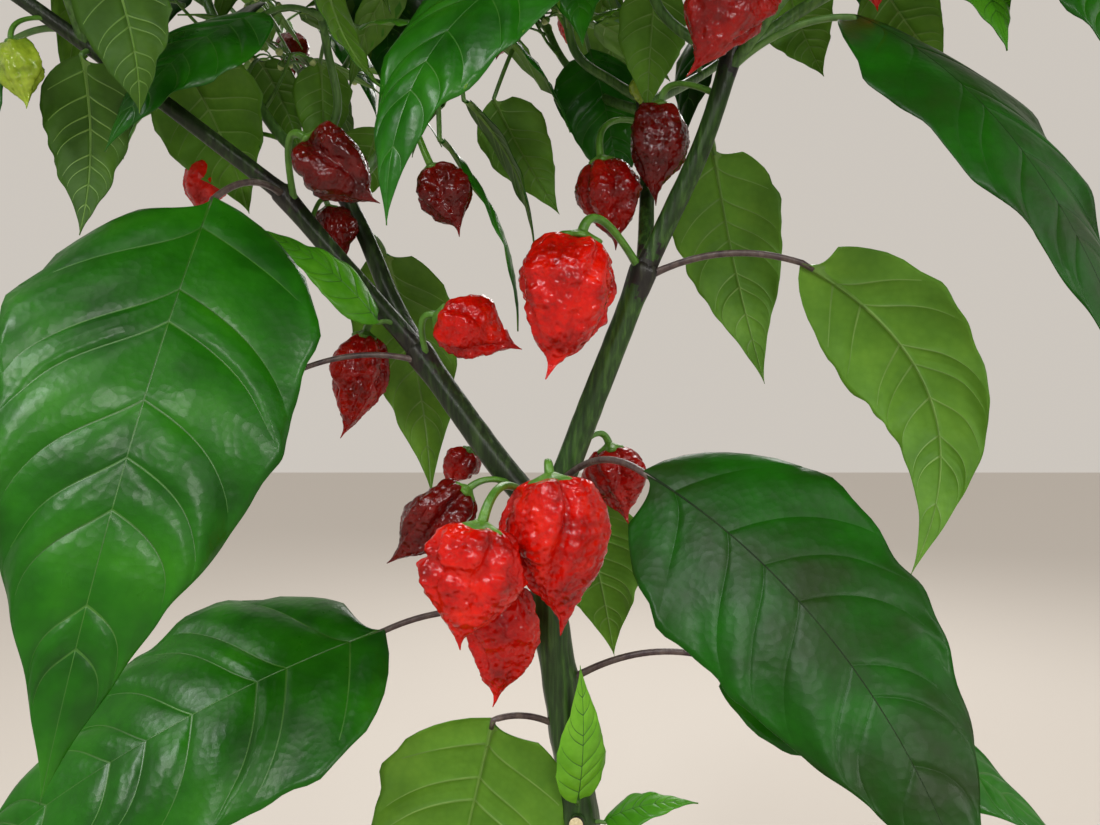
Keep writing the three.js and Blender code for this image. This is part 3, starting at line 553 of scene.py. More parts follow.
def dress_node(node, shoot, side, order, is_last, draw):
    """Leaves and perhaps a pod at a shoot's end: two leaves where it forks on, a cluster where it doesn't."""
    length = SEEDED_LEAF.length - SEEDED_LEAF.less_per_fork * order
    droop = SEEDED_LEAF.droop - SEEDED_LEAF.less_per_fork * order

    def below(distance):
        return shoot.foot - shoot.along * distance

    if draw() < SEEDED_POD.share:
        seed_pod(node, shoot.name, below(FEET.pod), shoot.out + SIDES.pod, draw)
    seed_leaf(node, shoot.name, below(FEET.leaf), shoot.out + SIDES.leaf * side, length, droop, draw)
    if is_last:
        for distance, turn, size, fall in END_CLUSTER:
            seed_leaf(node, shoot.name, below(distance), shoot.out + turn, length * size, fall, draw)
    else:
        other = shoot.out + SIDES.second_leaf * side
        seed_leaf(node, shoot.name, below(FEET.second_leaf), other, length * 0.85, droop, draw)


def grow_shoots(mass, seed, forks):
    """Shoots that fork in two at each node, the plane of each fork across the last one."""
    draw = seeded(seed)
    first = stems[mass]
    foot, along = first.course.point(1), first.course.tangent(1)
    plane = 180 * draw()
    radius = first.radii[1] * SHOOT.first
    shoots = [Thing(name=mass, foot=foot, along=along, length=SHOOT.length, radius=radius, plane=plane)]
    count = 0
    for order in range(forks):
        grown = []
        for shoot in shoots:
            for side in (-1, 1):
                count += 1
                arm = seed_shoot(mass, f"{mass}_{count}", shoot, side, draw)
                if not arm:
                    continue
                dress_node(mass, arm, side, order, order == forks - 1, draw)
                grown.append(arm)
        shoots = grown


def grow_side_shoot(mass, twig, place, number, draw):
    """A side shoot part of the way along a twig, with small leaves and a bud cluster, where it has room."""
    foot = twig.course.point(place)
    outward = outward_from_fork(foot)
    turn = bearing(outward) + sway(draw, 150) + 180 * (place < 0.6)
    along = unit(heading(turn, 20 + 35 * draw()) + 0.6 * twig.course.tangent(place))
    tip = foot + along * FINER.length * (0.7 + 0.5 * draw())
    name = f"{twig.name}_side{int(place * 100)}_{number}"
    room = body_of(name, [mix(foot, tip, t) for t in (0.35, 0.55, 0.8, 1)], FINER.clear)
    if out_of_place(room.points) or standing.clashes(room, twig.name):
        return
    standing.add(room)
    bend = mix(foot, tip, 0.5) - UP * 0.06 * FINER.length
    add_stem(name, mass, [foot, bend, tip], (FINER.radius * 1.15, FINER.radius * 0.8), "fine")
    for k, share in enumerate(FINER_PLACES.leaves):
        length = FINER.leaf * (1.05 - 0.22 * k) * (0.85 + 0.3 * draw())
        droop = 42 - 16 * k + 10 * draw()
        start = mix(foot, tip, share)
        seed_leaf(mass, name, start, turn + LEAF_TURN * k, length, droop, draw, FINER.clear)
    buds.append(Thing(node=mass, at=tip, turn=turn, count=2 + int(3 * draw())))


def grow_finer(mass, seed):
    """Side shoots on all the twigs of a mass."""
    draw = seeded(seed)
    twigs = [stem for stem in stems.values() if stem.node == mass and stem.kind == "twig"]
    for number, twig in enumerate(twigs):
        for place in FINER_PLACES.shoots:
            grow_side_shoot(mass, twig, place, number, draw)


def node_of(name, on):
    """A leaf or pod on a mass of foliage is part of that mass, and any other is a node of its own."""
    return stems[on].node if on.startswith("foliage") else name


def place_leaf(name, on, share, base, tip, width, face, tone, bow=None):
    leaf = Thing(
        node=node_of(name, on), owner=name, foot=stems[on].course.point(share), base=vec(base), tip=vec(tip),
        width=width, face=vec(face), bow=vec(bow) if bow else None, tone=tone, shown=True,
    )
    leaves.append(leaf)
    standing.add(leaf_room(leaf))


def place_pod(name, on, share, top, tail, width, tone):
    pod = Thing(
        node=node_of(name, on), owner=name, foot=stems[on].course.point(share), top=vec(top), tail=vec(tail),
        width=width, face=vec((0, -1, 0.01)), tone=tone, shown=True,
    )
    pods.append(pod)
    standing.add(pod_room(pod))


def grow_plant():
    """What the photograph shows first, then the seeded growth round it, then the finer growth."""
    add_stem("main_stem", "main_stem", STEM_COURSE, STEM_RADII, "trunk")
    for limb in LIMBS:
        grow_limb(*limb)
    for *mass, _ in MASSES:
        grow_limb(*mass, "twig")
    for stem in stems.values():
        standing.add(stem_room(stem))
    for leaf in LEAVES:
        place_leaf(*leaf)
    for pod in PODS:
        place_pod(*pod)
    for index, (mass, *_, forks) in enumerate(MASSES):
        grow_shoots(mass, SEED.first + SEED.shoots * index, forks)
    box.low, box.high = vec(cad_box[0]) / MM + BOX_MARGIN, vec(cad_box[1]) / MM - BOX_MARGIN
    for index, (mass, *_) in enumerate(MASSES):
        grow_finer(mass, SEED.first + SEED.finer * index)


# Uneven surfaces, from numbers that depend on the place alone
def hashed(cells, seed):
    """A number from 0 to 1 for each whole-number cell."""
    x, y, z = (cells[..., i].astype(np.int64) for i in range(3))
    h = (x * 73856093) ^ (y * 19349663) ^ (z * 83492791) ^ (seed * 2654435761)
    h = (h ^ (h >> 13)) & 0x7FFFFFFF
    h = (h * 1274126177) & 0x7FFFFFFF
    return ((h ^ (h >> 15)) & 0xFFFFFF) / 0xFFFFFF


def soft_noise(points, cell, seed):
    """Smooth noise from -1 to 1, with features about one cell wide."""
    where = points / cell
    low = np.floor(where)
    f = where - low
    f = f * f * (3 - 2 * f)
    total = 0
    for corner in np.ndindex(2, 2, 2):
        weight = np.prod(np.where(np.array(corner), f, 1 - f), axis=-1)
        total = total + weight * hashed(low + np.array(corner), seed)
    return 2 * total - 1


def blisters(points, cell, seed):
    """Domes side by side with creases between them, from 0 in a crease to 1 on top."""
    where = points / cell
    low = np.floor(where)
    nearest = np.full(points.shape[:-1], 9.0)
    second = np.full(points.shape[:-1], 9.0)
    for step in np.ndindex(3, 3, 3):
        cells = low + np.array(step) - 1
        spot = np.stack([hashed(cells, seed + k) for k in range(3)], axis=-1)
        distance = np.linalg.norm(cells + spot - where, axis=-1)
        second = np.minimum(second, np.maximum(distance, nearest))
        nearest = np.minimum(nearest, distance)
    return np.clip((second - nearest) * 1.6, 0, 1)


# Meshes: a piece gathers points and faces, each face with the look that it takes
class Piece:
    """A mesh in the making, in millimetres."""

    def __init__(self, name):
        self.name = name
        self.points, self.faces, self.looks = [], [], []
        self.count = 0

    def add_points(self, points):
        start = self.count
        self.points.append(points.reshape(-1, 3))
        self.count += len(self.points[-1])
        return start

    def add_faces(self, faces, look):
        if len(faces):
            self.faces.append(np.asarray(faces, np.int64))
            self.looks.append(look)

    def mesh(self):
        """The Blender mesh, in metres, with one material for each look."""
        mesh = bpy.data.meshes.new(self.name)
        corners = np.concatenate([f.ravel() for f in self.faces])
        sizes = np.concatenate([np.full(len(f), f.shape[1]) for f in self.faces])
        order = sorted(set(self.looks))
        which = np.concatenate([np.full(len(f), order.index(k)) for f, k in zip(self.faces, self.looks)])
        mesh.vertices.add(self.count)
        mesh.vertices.foreach_set("co", np.vstack(self.points).ravel() * MM)
        mesh.loops.add(len(corners))
        mesh.loops.foreach_set("vertex_index", corners)
        mesh.polygons.add(len(sizes))
        mesh.polygons.foreach_set("loop_start", np.concatenate([[0], np.cumsum(sizes)[:-1]]))
        mesh.polygons.foreach_set("material_index", which)
        mesh.polygons.foreach_set("use_smooth", np.ones(len(sizes), bool))
        mesh.update(calc_edges=True)
        mesh.validate()
        for look in order:
            mesh.materials.append(materials[look])
        return mesh

    def make(self, slot, node):
        """The Blender object, which rides on the plant's body and stands for the CAD node named."""
        made = bpy.data.objects.new(self.name, self.mesh())
        bpy.context.scene.collection.objects.link(made)
        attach(made, "root")
        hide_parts(node)


def grid_faces(rows, columns, start=0, closed=False):
    """Quads between neighbouring points of a grid, as rows of point numbers, in a grid of their own."""
    i = np.arange(rows - 1)[:, None]
    j = np.arange(columns if closed else columns - 1)[None, :]
    k = (j + 1) % columns
    here, ahead = i * columns, (i + 1) * columns
    quads = np.stack([here + j, here + k, ahead + k, ahead + j], axis=-1)
    return quads + start


def turns(count):
    """Angles all the way round, evenly spaced."""
    return np.arange(count) / count * 2 * math.pi


def round_axis(out, side, radii, angles, flat=1.0):
    """Rows of points round an axis, squeezed along the direction that faces out."""
    return out * (radii * np.cos(angles) * flat)[..., None] + side * (radii * np.sin(angles))[..., None]


def tube_rings(centres, radii, sides):
    """Rings of points round a line. radii is one number for each ring, or one for each point."""
    tangents = np.gradient(centres, axis=0)
    tangents /= np.linalg.norm(tangents, axis=1)[:, None]
    outs = [across(vec((0.31, -0.9, 0.2)), tangents[0])]
    for tangent in tangents[1:]:
        outs.append(across(outs[-1], tangent))
    outs = np.array(outs)
    ways = np.cross(tangents, outs)
    radii = radii[:, None] if radii.ndim == 1 else radii
    return centres[:, None] + round_axis(outs[:, None], ways[:, None], radii, turns(sides))


def add_tube(piece, rings, look, cap_look=None):
    """A closed skin over rings. look is one name, or one for each step between rings, or for each face."""
    rows, sides = rings.shape[:2]
    start = piece.add_points(rings)
    quads = grid_faces(rows, sides, start, closed=True)
    looks = np.array(look)
    looks = np.broadcast_to(looks if looks.ndim == 2 else looks.reshape(-1, 1), quads.shape[:2])
    for name in sorted(set(looks.ravel().tolist())):
        piece.add_faces(quads[looks == name], name)
    ends = np.arange(sides) + start
    piece.add_faces([ends[::-1]], cap_look or str(looks[0, 0]))
    piece.add_faces([ends + (rows - 1) * sides], cap_look or str(looks[-1, 0]))


# Leaves: a closed blade whose cross lines follow its side veins, on a round stalk
VEINS = Thing(first=0.075, span=0.82, crowd=0.95, last=0.97, uneven=0.22)  # shares of the blade's length
VEIN_FORWARD = 0.5  # how far the side veins run forward on their way to the margin
VEIN = Thing(upper=0.2, under=0.26)  # half a side vein's width
RIB = Thing(upper=0.22, under=0.5, foot=14)  # half the midrib's width, as a share of the stalk's radius
BLADE = Thing(
    thickness=0.5, rim=0.22, quilt=0.052, wrinkle=0.22, ripple=0.065,
    scallop=0.02, uneven=0.045, stagger=0.045,
)
MARGIN_WAVES = (2.3, 5.1, 9.7)  # how many times the margin swings out and in along the blade
RIPPLES = (2.1, 4.3)  # and how many times it swings up and down
SMOOTH = 0.3  # how much of that relief a dark, smooth leaf keeps
SEEDED_LOOKS = Thing(seed=97, step=31, tones=("mid", "mid", "dark", "light"), young=34)  # young when shorter
FINE_FROM = Thing(full=30, seeded=50)  # the width, and length, from which a leaf takes this detail
DETAIL = {
    "full": Thing(veins=8, between=7, columns=15, sides=14, stalk_rings=22, base=7),
    "shown": Thing(veins=7, between=3, columns=9, sides=12, stalk_rings=16, base=6),
    "seeded": Thing(veins=5, between=1, columns=3, sides=5, stalk_rings=5, base=2),
    "small": Thing(veins=3, between=0, columns=2, sides=4, stalk_rings=4, base=2),
}


def cross_lines(detail, phase):
    """Lines across a blade: share along it, which side of a vein it lies on, and where between two veins."""
    steps = range(detail.veins)
    shares = [(k + VEINS.uneven * math.sin(2.4 * k + 6 * phase)) / detail.veins for k in steps]
    feet = [VEINS.first + VEINS.span * max(share, 0) ** VEINS.crowd for share in shares]
    lines = [(feet[0] * (i / detail.base) ** 2.6, 0, 0.7 * i / detail.base) for i in range(detail.base)]
    for foot, end in zip(feet, feet[1:] + [VEINS.last]):
        lines += [(foot, -1, 0.0), (foot, 0, 0.0), (foot, 1, 0.0)]
        parts = [(i + 1) / (detail.between + 1) for i in range(detail.between)]
        lines += [(mix(foot, end, part), 0, part) for part in parts]
    lines += [(0.985, 0, 0.0), (1.0, 0, 0.0)]
    return np.array(lines).T


def stalk_radius(leaf):
    full = PETIOLE_RADIUS.shown if leaf.shown else PETIOLE_RADIUS.seeded
    return full * min(1, 0.45 + leaf_length(leaf) / 180)


def blade_net(leaf, detail, under, phase):
    """Where one side of a blade has its points: lines along the side veins, and columns along the margin."""
    lines, by_vein, between = (a[:, None] for a in cross_lines(detail, phase))
    root = stalk_radius(leaf)
    foot = 1 + np.exp(-lines * RIB.foot)
    rib = root * (RIB.under if under else RIB.upper) * foot * (1 - 0.7 * lines)
    rib_share = np.clip(rib / (leaf.width / 2 * blade_share(np.clip(lines, 0.01, 0.985))), 0, 0.6)
    one_side = np.concatenate([[0.6, 1.0], 1 + np.arange(1, detail.columns + 1)])[None, :]
    spread = rib_share + (1 - rib_share) * np.clip(one_side - 1, 0, None) / detail.columns
    spread = np.where(one_side <= 1, one_side * rib_share, spread)
    across_blade = np.concatenate([-spread[:, ::-1], np.zeros_like(lines), spread], axis=1)
    far, right = abs(across_blade), across_blade > 0

    vein = (VEIN.under if under else VEIN.upper) * (0.6 + leaf.width / 110)
    u = lines + by_vein * vein / leaf_length(leaf) * (1.5 - far)
    stagger = BLADE.stagger * (1 - np.exp(-far * 5)) * right
    along = u + (VEIN_FORWARD * np.sqrt(u) * (0.5 * far + 0.5 * far**3) + stagger) * (1 - u)
    return Thing(
        lines=lines, by_vein=by_vein, between=between, root=root, rib_share=rib_share, vein=vein, phase=phase,
        across=across_blade, far=far, right=right, along=np.clip(along, 0, 1),
    )


def blade_half(leaf, net):
    """Half the blade's width at each point, with its uneven margin."""
    t, far = net.along, net.far
    half = np.maximum(leaf.width / 2 * blade_share(t), mix(net.root, 0.12, t))
    scallops = np.cos(2 * math.pi * net.between) * np.clip(net.lines * 12, 0, 1) * (1 - t)
    margin = 1 + BLADE.scallop * far**5 * scallops
    for waves in MARGIN_WAVES:
        turn = 2 * math.pi * (waves * t + net.phase * (1 + 2.7 * net.right))
        margin += BLADE.uneven / waves**0.5 * np.sin(turn) * far**3 * np.clip(t * 8, 0, 1)
    return half * margin


def blade_rise(leaf, net, half, detail):
    """How far the blade stands out: its cup, the quilting between its veins, and its ripples."""
    far, between = net.far, net.between
    rise = LEAF_CUP * half * far**1.7 * leaf.cup
    dome = (1 - abs(2 * between - 1) ** 2.4) * np.clip(far * 3.5, 0, 1) * (1 - far**5)
    spacing = leaf_length(leaf) / detail.veins
    rise += leaf.relief * BLADE.quilt * spacing * dome * np.clip(half / 14, 0, 1)
    tertiary = np.cos(2 * math.pi * (3 * between + 1.3 * far + 2 * net.phase * net.right))
    inner = np.sin(math.pi * between) * np.clip(far * 5, 0, 1) * (1 - far**2)
    rise += leaf.relief * BLADE.wrinkle * tertiary * inner
    for waves in RIPPLES:
        wave = np.sin(2 * math.pi * (net.lines * waves + net.phase * (1 + 1.7 * net.right)))
        rise += BLADE.ripple * half * far**3 * wave
    return rise


def vein_rise(net, under):
    """Veins are grooves in the upper side and ridges on the under side, which lies below the upper one."""
    lines, far = net.lines, net.far
    at_vein = (net.by_vein == 0) & (net.between == 0) & (lines > 0.05) & (lines < VEINS.last)
    if not under:
        return -0.7 * net.vein * at_vein * (1 - far) - 0.25 * net.root * (far < 1e-6) * (1 - lines)
    ridge = net.root * (0.75 + 0.6 * np.exp(-lines * RIB.foot)) * (1 - lines) + 0.12
    over_rib = np.clip(1 - (far / np.maximum(net.rib_share, 1e-6)) ** 2, 0, 1)
    return -mix(BLADE.thickness, BLADE.rim, far) - ridge * over_rib - 1.1 * net.vein * at_vein * (1 - far)


def blade_side(leaf, detail, under, phase):
    """The points of one side of a blade, as a grid of cross lines by columns."""
    net = blade_net(leaf, detail, under, phase)
    half = blade_half(leaf, net)
    rise = blade_rise(leaf, net, half, detail) + vein_rise(net, under)
    blade = blade_curve(leaf)
    out, side = sideways(blade.tangent(net.along), leaf.face)
    turn = (math.radians(leaf.twist) * (net.along - 0.3))[..., None]
    out, side = out * np.cos(turn) + side * np.sin(turn), side * np.cos(turn) - out * np.sin(turn)
    return blade.point(net.along) + out * rise[..., None] + side * (net.across * half)[..., None]


def vein_faces(detail, phase, columns):
    """Which faces of a blade lie on its midrib, and which on any vein."""
    _, by_vein, _ = cross_lines(detail, phase)
    vein_rows = (by_vein[:-1] == -1) | ((by_vein[:-1] == 0) & (by_vein[1:] == 1))
    on_rib = np.zeros((len(vein_rows), columns - 1), bool)
    on_rib[:, columns // 2 - 2 : columns // 2 + 2] = True
    on_vein = np.repeat(vein_rows[:, None], columns - 1, axis=1)
    rim = max(1, detail.columns // 6)
    on_vein[:, :rim] = on_vein[:, -rim:] = False
    return on_rib, on_vein | on_rib


def rim_of(rows, columns):
    """The numbers of a grid's outer points, in order."""
    return np.concatenate([
        np.arange(columns), columns * np.arange(2, rows) - 1,
        columns * rows - 1 - np.arange(columns), columns * np.arange(rows - 2, 0, -1),
    ])


def add_leaf(piece, leaf):
    detail = DETAIL[leaf.detail]
    phase = hashed(np.floor(leaf.tip * 3)[None], 5)[0]
    top, under = (blade_side(leaf, detail, below, phase) for below in (False, True))
    rows, columns = top.shape[:2]
    on_rib, on_vein = vein_faces(detail, phase, columns)
    a, b = piece.add_points(top), piece.add_points(under)
    quads = grid_faces(rows, columns)
    smooth = leaf.relief < 1
    lined = on_rib if smooth else on_vein
    piece.add_faces(quads[~lined] + a, f"leaf_{leaf.tone}")
    piece.add_faces(quads[lined] + a, "vein_dark" if smooth else "vein_upper")
    flipped = quads[..., ::-1]
    # A dark leaf's under side takes under_dark: painted shade on the shown dark leaves whose under side faces
    # the viewer, a random darker tone on seeded ones
    piece.add_faces(flipped[~on_vein] + b, f"under_{'dark' if leaf.tone == 'dark' else 'light'}")
    piece.add_faces(flipped[on_vein] + b, "vein_under")
    edge = rim_of(rows, columns)
    onward = np.roll(edge, -1)
    piece.add_faces(np.stack([edge + a, edge + b, onward + b, onward + a], axis=-1), f"leaf_{leaf.tone}")
    add_stalk(piece, leaf, detail)


def add_stalk(piece, leaf, detail):
    """A leaf's stalk, swollen where it leaves the stem."""
    root = stalk_radius(leaf)
    u = np.linspace(0, 1, detail.stalk_rings)
    radii = root * (1 + 0.7 * np.exp(-u * 14) - 0.12 * u)
    end = blade_curve(leaf)
    out, _ = sideways(end.tangent(vec([0.0])), leaf.face)
    centres = petiole_curve(leaf).point(u) - out * (root * 0.9 * u**3)[:, None]
    further = end.point(vec([0.03])) - out * root * 0.9
    rings = tube_rings(np.vstack([centres, further]), np.append(radii, radii[-1] * 0.8), detail.sides)
    add_tube(piece, rings, leaf.stalk)


# Pods: a lobed, creased and blistered body with a thin tail, under a small calyx on a thick curved stalk
POD_PROFILE = [
    (0.0, 0.10), (0.01, 0.22), (0.035, 0.4), (0.08, 0.6), (0.15, 0.81), (0.25, 0.97), (0.37, 1.02),
    (0.51, 0.92), (0.63, 0.7), (0.74, 0.45), (0.82, 0.24), (0.89, 0.1), (0.95, 0.04), (1.0, 0.012),
]
SHOULDER = Thing(rise=0.035, at=0.1, wide=0.08)  # how far the shoulders stand up round the calyx
POD_LOBE = Thing(swell=0.08, furrow=0.27, wide=0.19, fold=0.2, lump=0.1, least=0.58)  # shares of its radius
POD_SKIN = Thing(blister=0.028, wrinkle=0.016, dent=0.02)  # shares of its width
POD_SKIN_LONG = 0.8  # how much longer the skin's pattern is along the pod than round it
POD_HOOK = 0.05  # how far the tail bends aside, as a share of the pod's length
CALYX = Thing(reach=0.19, points=5, uneven=0.16, fall=0.036)  # shares of the pod's width, but for the points
CALYX_PROFILE = [(0, 1.9), (0.25, 1.35), (0.55, 0.95), (0.85, 0.75), (1.0, 0.35), (0.96, -0.7)]
PEDICEL_RADIUS = 1.9
POD_POINTS = Thing(single=2.1, shown=1.6, seeded=1.1)  # points round a pod for each millimetre of its width


def smooth_profile(v):
    shares, radii = (np.array(c) for c in zip(*POD_PROFILE))
    fine = np.linspace(0, 1, 401)
    values = np.interp(fine, shares, radii)
    kernel = np.hanning(23)
    padded = np.concatenate([np.full(11, values[0]), values, np.full(11, values[-1])])
    soft = np.convolve(padded, kernel / kernel.sum(), "valid")
    blend = np.clip(fine * 12, 0, 1) * np.clip((1 - fine) * 12, 0, 1)
    return np.interp(v, fine, mix(values, soft, blend))


def pod_frame(pod):
    """A pod's axis, the direction that faces out, and the one to its side."""
    axis = unit(pod.tail - pod.top)
    out = across(pod.face, axis)
    return axis, out, np.cross(axis, out)


def pod_swell(v, turn, lobes, lobe_wave, draw):
    """How lobes, furrows and folds widen and narrow a pod, as a share of its radius."""
    swell = 1 + POD_LOBE.swell * lobe_wave
    reach = np.clip(v * 9, 0, 1) * np.clip((0.86 - v) * 4, 0, 1)
    for k in range(lobes):
        at = (k + sway(draw, 0.35)) / lobes * 2 * math.pi + 6
        wander = 0.28 * np.sin(5 * v + 6 * draw())
        off = (turn - at + wander + math.pi) % (2 * math.pi) - math.pi
        swell -= POD_LOBE.furrow * (0.6 + 0.8 * draw()) * np.exp(-((off / POD_LOBE.wide) ** 2)) * reach
    for _ in range(2):
        at, high = 6.3 * draw(), 0.35 + 0.35 * draw()
        slope = high + 0.07 * np.sin(2 * turn + at)
        side_share = 0.5 + 0.5 * np.cos(turn - at)
        swell -= POD_LOBE.fold * draw() * side_share * np.exp(-(((v - slope) / 0.055) ** 2))
    return np.maximum(swell, POD_LOBE.least)


def pod_bumps(pod, place, seed):
    """Blisters, wrinkles and dents, as a share of the pod's width."""
    bumps = POD_SKIN.blister * (blisters(place + seed * 7, pod.width * 0.15, seed) - 0.55)
    bumps += POD_SKIN.wrinkle * (blisters(place + seed * 3, pod.width * 0.07, seed + 9) - 0.5)
    return bumps + POD_SKIN.dent * soft_noise(place, pod.width * 0.3, seed + 4)


def pod_skin(pod, rows, columns, seed):
    """A pod's points, as rings from its shoulder to its tail."""
    draw = seeded(seed)
    axis, out, side = pod_frame(pod)
    length, half = np.linalg.norm(pod.tail - pod.top), pod.width / 2
    v = (np.linspace(0, 1, rows) ** 0.92)[:, None]
    angles = turns(columns)
    lobes = 4 + int(2 * draw())
    turn = angles + sway(draw, 0.9) * v
    lobe_wave = np.cos(lobes * turn + 6 * draw())
    radius = half * smooth_profile(v) * pod_swell(v, turn, lobes, lobe_wave, draw)
    rise = length * SHOULDER.rise * np.exp(-(((v - SHOULDER.at) / SHOULDER.wide) ** 2))
    height = length * v - rise * (1 + 0.4 * lobe_wave)
    hook = POD_HOOK * length * np.clip((v - 0.75) / 0.25, 0, 1) ** 2
    place = np.stack([radius * np.cos(angles), radius * np.sin(angles), POD_SKIN_LONG * height], axis=-1)
    body = np.clip(v * 12, 0, 1) * np.clip((0.95 - v) * 6, 0, 1)
    radius = radius + pod.width * pod_bumps(pod, place, seed) * body
    lean = (out * math.cos(seed) + side * math.sin(seed)) * hook[..., None]
    skin = pod.top + axis * height[..., None] + lean + round_axis(out, side, radius, angles, POD_DEPTH)
    lumps = np.stack([soft_noise(place, half * 0.8, seed + 20 + k) for k in range(3)], axis=-1)
    return skin + POD_LOBE.lump * half * lumps * body[..., None]


def add_pod(piece, pod, density):
    seed = 3 + int(hashed(np.floor(pod.top * 5)[None], 11)[0] * 9000)
    rows, columns = int(density * 1.2 * pod.width), int(density * pod.width)
    add_tube(piece, pod_skin(pod, rows, columns, seed), f"pod_{pod.tone}")
    add_calyx(piece, pod, density > 1.5)


def add_calyx(piece, pod, fine):
    """The green cap on the pod's shoulder, and the stalk, which widens into it."""
    axis, out, side = pod_frame(pod)
    sides, rings = (30, 26) if fine else (15, 9)
    angles = turns(sides)
    reach = pod.width * CALYX.reach * (1 + CALYX.uneven * np.cos(CALYX.points * angles))
    stalk = PEDICEL_RADIUS * min(1, pod.width / 30)
    shares, lifts = vec(CALYX_PROFILE).T[..., None]
    radii = mix(stalk, reach, shares)
    lifts = lifts * min(1, pod.width / 26) - CALYX.fall * pod.width * (radii / reach) ** 2
    cap = pod.top - axis * lifts[..., None] + round_axis(out, side, radii, angles, 0.9)
    add_tube(piece, cap, "calyx")
    u = np.linspace(0, 1, rings)[:, None]
    swollen = stalk * (0.72 + 0.28 * u**3 + 0.35 * np.exp(-u * 16))
    ribs = 1 + 0.05 * np.cos(CALYX.points * angles + 3 * u)
    add_tube(piece, tube_rings(pedicel_curve(pod).point(u[:, 0]), swollen * ribs, sides), "pedicel")


def add_bud(piece, bud):
    """A few closed flower buds on short nodding stalks."""
    for k in range(bud.count):
        turn = bud.turn + 360 / bud.count * k
        top = bud.at + heading(turn, 35) * BUD.stalk * 0.6
        end = top + heading(turn, -45) * BUD.stalk * 0.6
        u = np.linspace(0, 1, 5)
        centres = Arc(bud.at, top, end).point(u)
        add_tube(piece, tube_rings(centres, 0.35 + 0.25 * u, 5), "pedicel")
        v = np.linspace(0, 1, 7)
        radii = BUD.width / 2 * np.sqrt(np.clip(np.sin(math.pi * (0.06 + 0.88 * v)), 0, 1))
        centres = end + unit(end - top) * (v * BUD.length)[:, None]
        add_tube(piece, tube_rings(centres, radii, 8), ["calyx"] * 3 + ["bud"] * 3)


# Stems: ridged lengthwise, swollen and dark at each node
STEM_RIDGES = Thing(count=5, depth=0.045, fine_count=17, fine=0.014, twist=0.006)
NODE = Thing(swell=0.22, reach=9, dark=9)  # how far from a node the stem is thicker, and dark
LEAF_NODE = Thing(swell=0.1, reach=7)  # and the same where a leaf leaves the main stem
STUB = Thing(foot=(11, -3, 357), along=(-0.15, -1, 0.12), length=9.5, hollow=0.25)
STUB_PROFILE = [(0, 3.6), (0.5, 2.9), (0.85, 2.8), (1.0, 2.6), (1.0001, 1.6)]  # share along it, and radius


def stem_swell(stem, centres, from_tip):
    """How much thicker a stem is at its nodes, as a share of its radius."""
    swell = NODE.swell * np.exp(-((from_tip / NODE.reach) ** 2))
    if stem.kind == "trunk":
        for leaf in leaves:
            if leaf.node.startswith("leaf_stem") or leaf.node == "leaf_left_low":
                above = centres[:, 2] - leaf.foot[2]
                swell = swell + LEAF_NODE.swell * np.exp(-((above / LEAF_NODE.reach) ** 2))
    return swell


def limb_rings(stem, step, sides):
    """Rings of points along a stem, with a domed end."""
    length = stem.course.length
    u = np.linspace(0, 1, max(4, int(length / step)))
    centres = np.array([stem.course.point(x) for x in u])
    radii = mix(*stem.radii, u)
    from_foot, from_tip = u * length, (1 - u) * length
    if stem.kind == "trunk":
        radii = radii + FLARE.extra * np.clip(1 - from_foot / FLARE.height, 0, 1) ** 2
    else:
        radii = radii * (1 + 0.16 * np.exp(-from_foot / 4))
    turn = turns(sides) + STEM_RIDGES.twist * from_foot[:, None]
    ridges = STEM_RIDGES.depth * np.cos(STEM_RIDGES.count * turn)
    ridges += STEM_RIDGES.fine * np.cos(STEM_RIDGES.fine_count * turn)
    swell = stem_swell(stem, centres, from_tip)
    rings = tube_rings(centres, radii[:, None] * (1 + swell[:, None] + ridges), sides)
    knobs = soft_noise(rings, 5.0, 21) * 0.018 + soft_noise(rings * vec((1, 1, 0.25)), 1.6, 22) * 0.01
    away = (rings - centres[:, None]) * (1 + knobs)[..., None]
    dome = vec((0.3, 0.6, 0.85, 0.98)) if stem.kind in ("trunk", "limb") else vec((0.5, 0.85))
    end = centres[-1] + stem.course.tangent(1) * radii[-1] * (dome * 0.9)[:, None]
    cap = end[:, None] + away[-1][None] * np.sqrt(1 - dome**2)[:, None, None]
    return np.vstack([centres[:, None] + away, cap])


def make_limb(stem):
    """A limb's skin, with dark blotches round its nodes that run out unevenly."""
    piece = Piece(f"{stem.name}_bark")
    rings = limb_rings(stem, 1.0, 36 if stem.kind == "trunk" else 30)
    middles = (rings[:-1] + rings[1:]) / 2
    ragged = 5 * soft_noise(middles, 3.0, 41) + 3 * soft_noise(middles * vec((1, 1, 0.3)), 1.2, 42)
    nodes = (1,) if stem.kind == "trunk" else (0, 1)
    away = [np.linalg.norm(middles - stem.course.point(u), axis=-1) for u in nodes]
    dark = np.min(away, axis=0) + ragged < NODE.dark
    look = "stem_dark" if stem.name.startswith("left") else "stem"
    add_tube(piece, rings, np.where(dark, "stem_node", look))
    if stem.kind == "trunk":
        add_stub(piece)
    piece.make("stem", stem.node)


def add_stub(piece):
    """The pale cut end of a side shoot that was taken off low on the stem."""
    shares, radii = vec(STUB_PROFILE).T
    along = unit(vec(STUB.along))
    rings = tube_rings(vec(STUB.foot) + along * (shares * STUB.length)[:, None], radii, 20)
    rings[-1] -= along * STUB.hollow
    add_tube(piece, rings, ["stem"] * 2 + ["stem_node", "cut"], "cut")


def add_twig(piece, stem, mass):
    """One of a mass's twigs, the rounder the thicker it is."""
    if stem.kind == "fine":
        step, sides, look = 7, 6, "shoot"
    elif stem.name == mass:
        step, sides, look = 2.5, 12, "twig"
    else:
        step, sides, look = 5, 8, "twig"
    add_tube(piece, limb_rings(stem, step, sides), look)


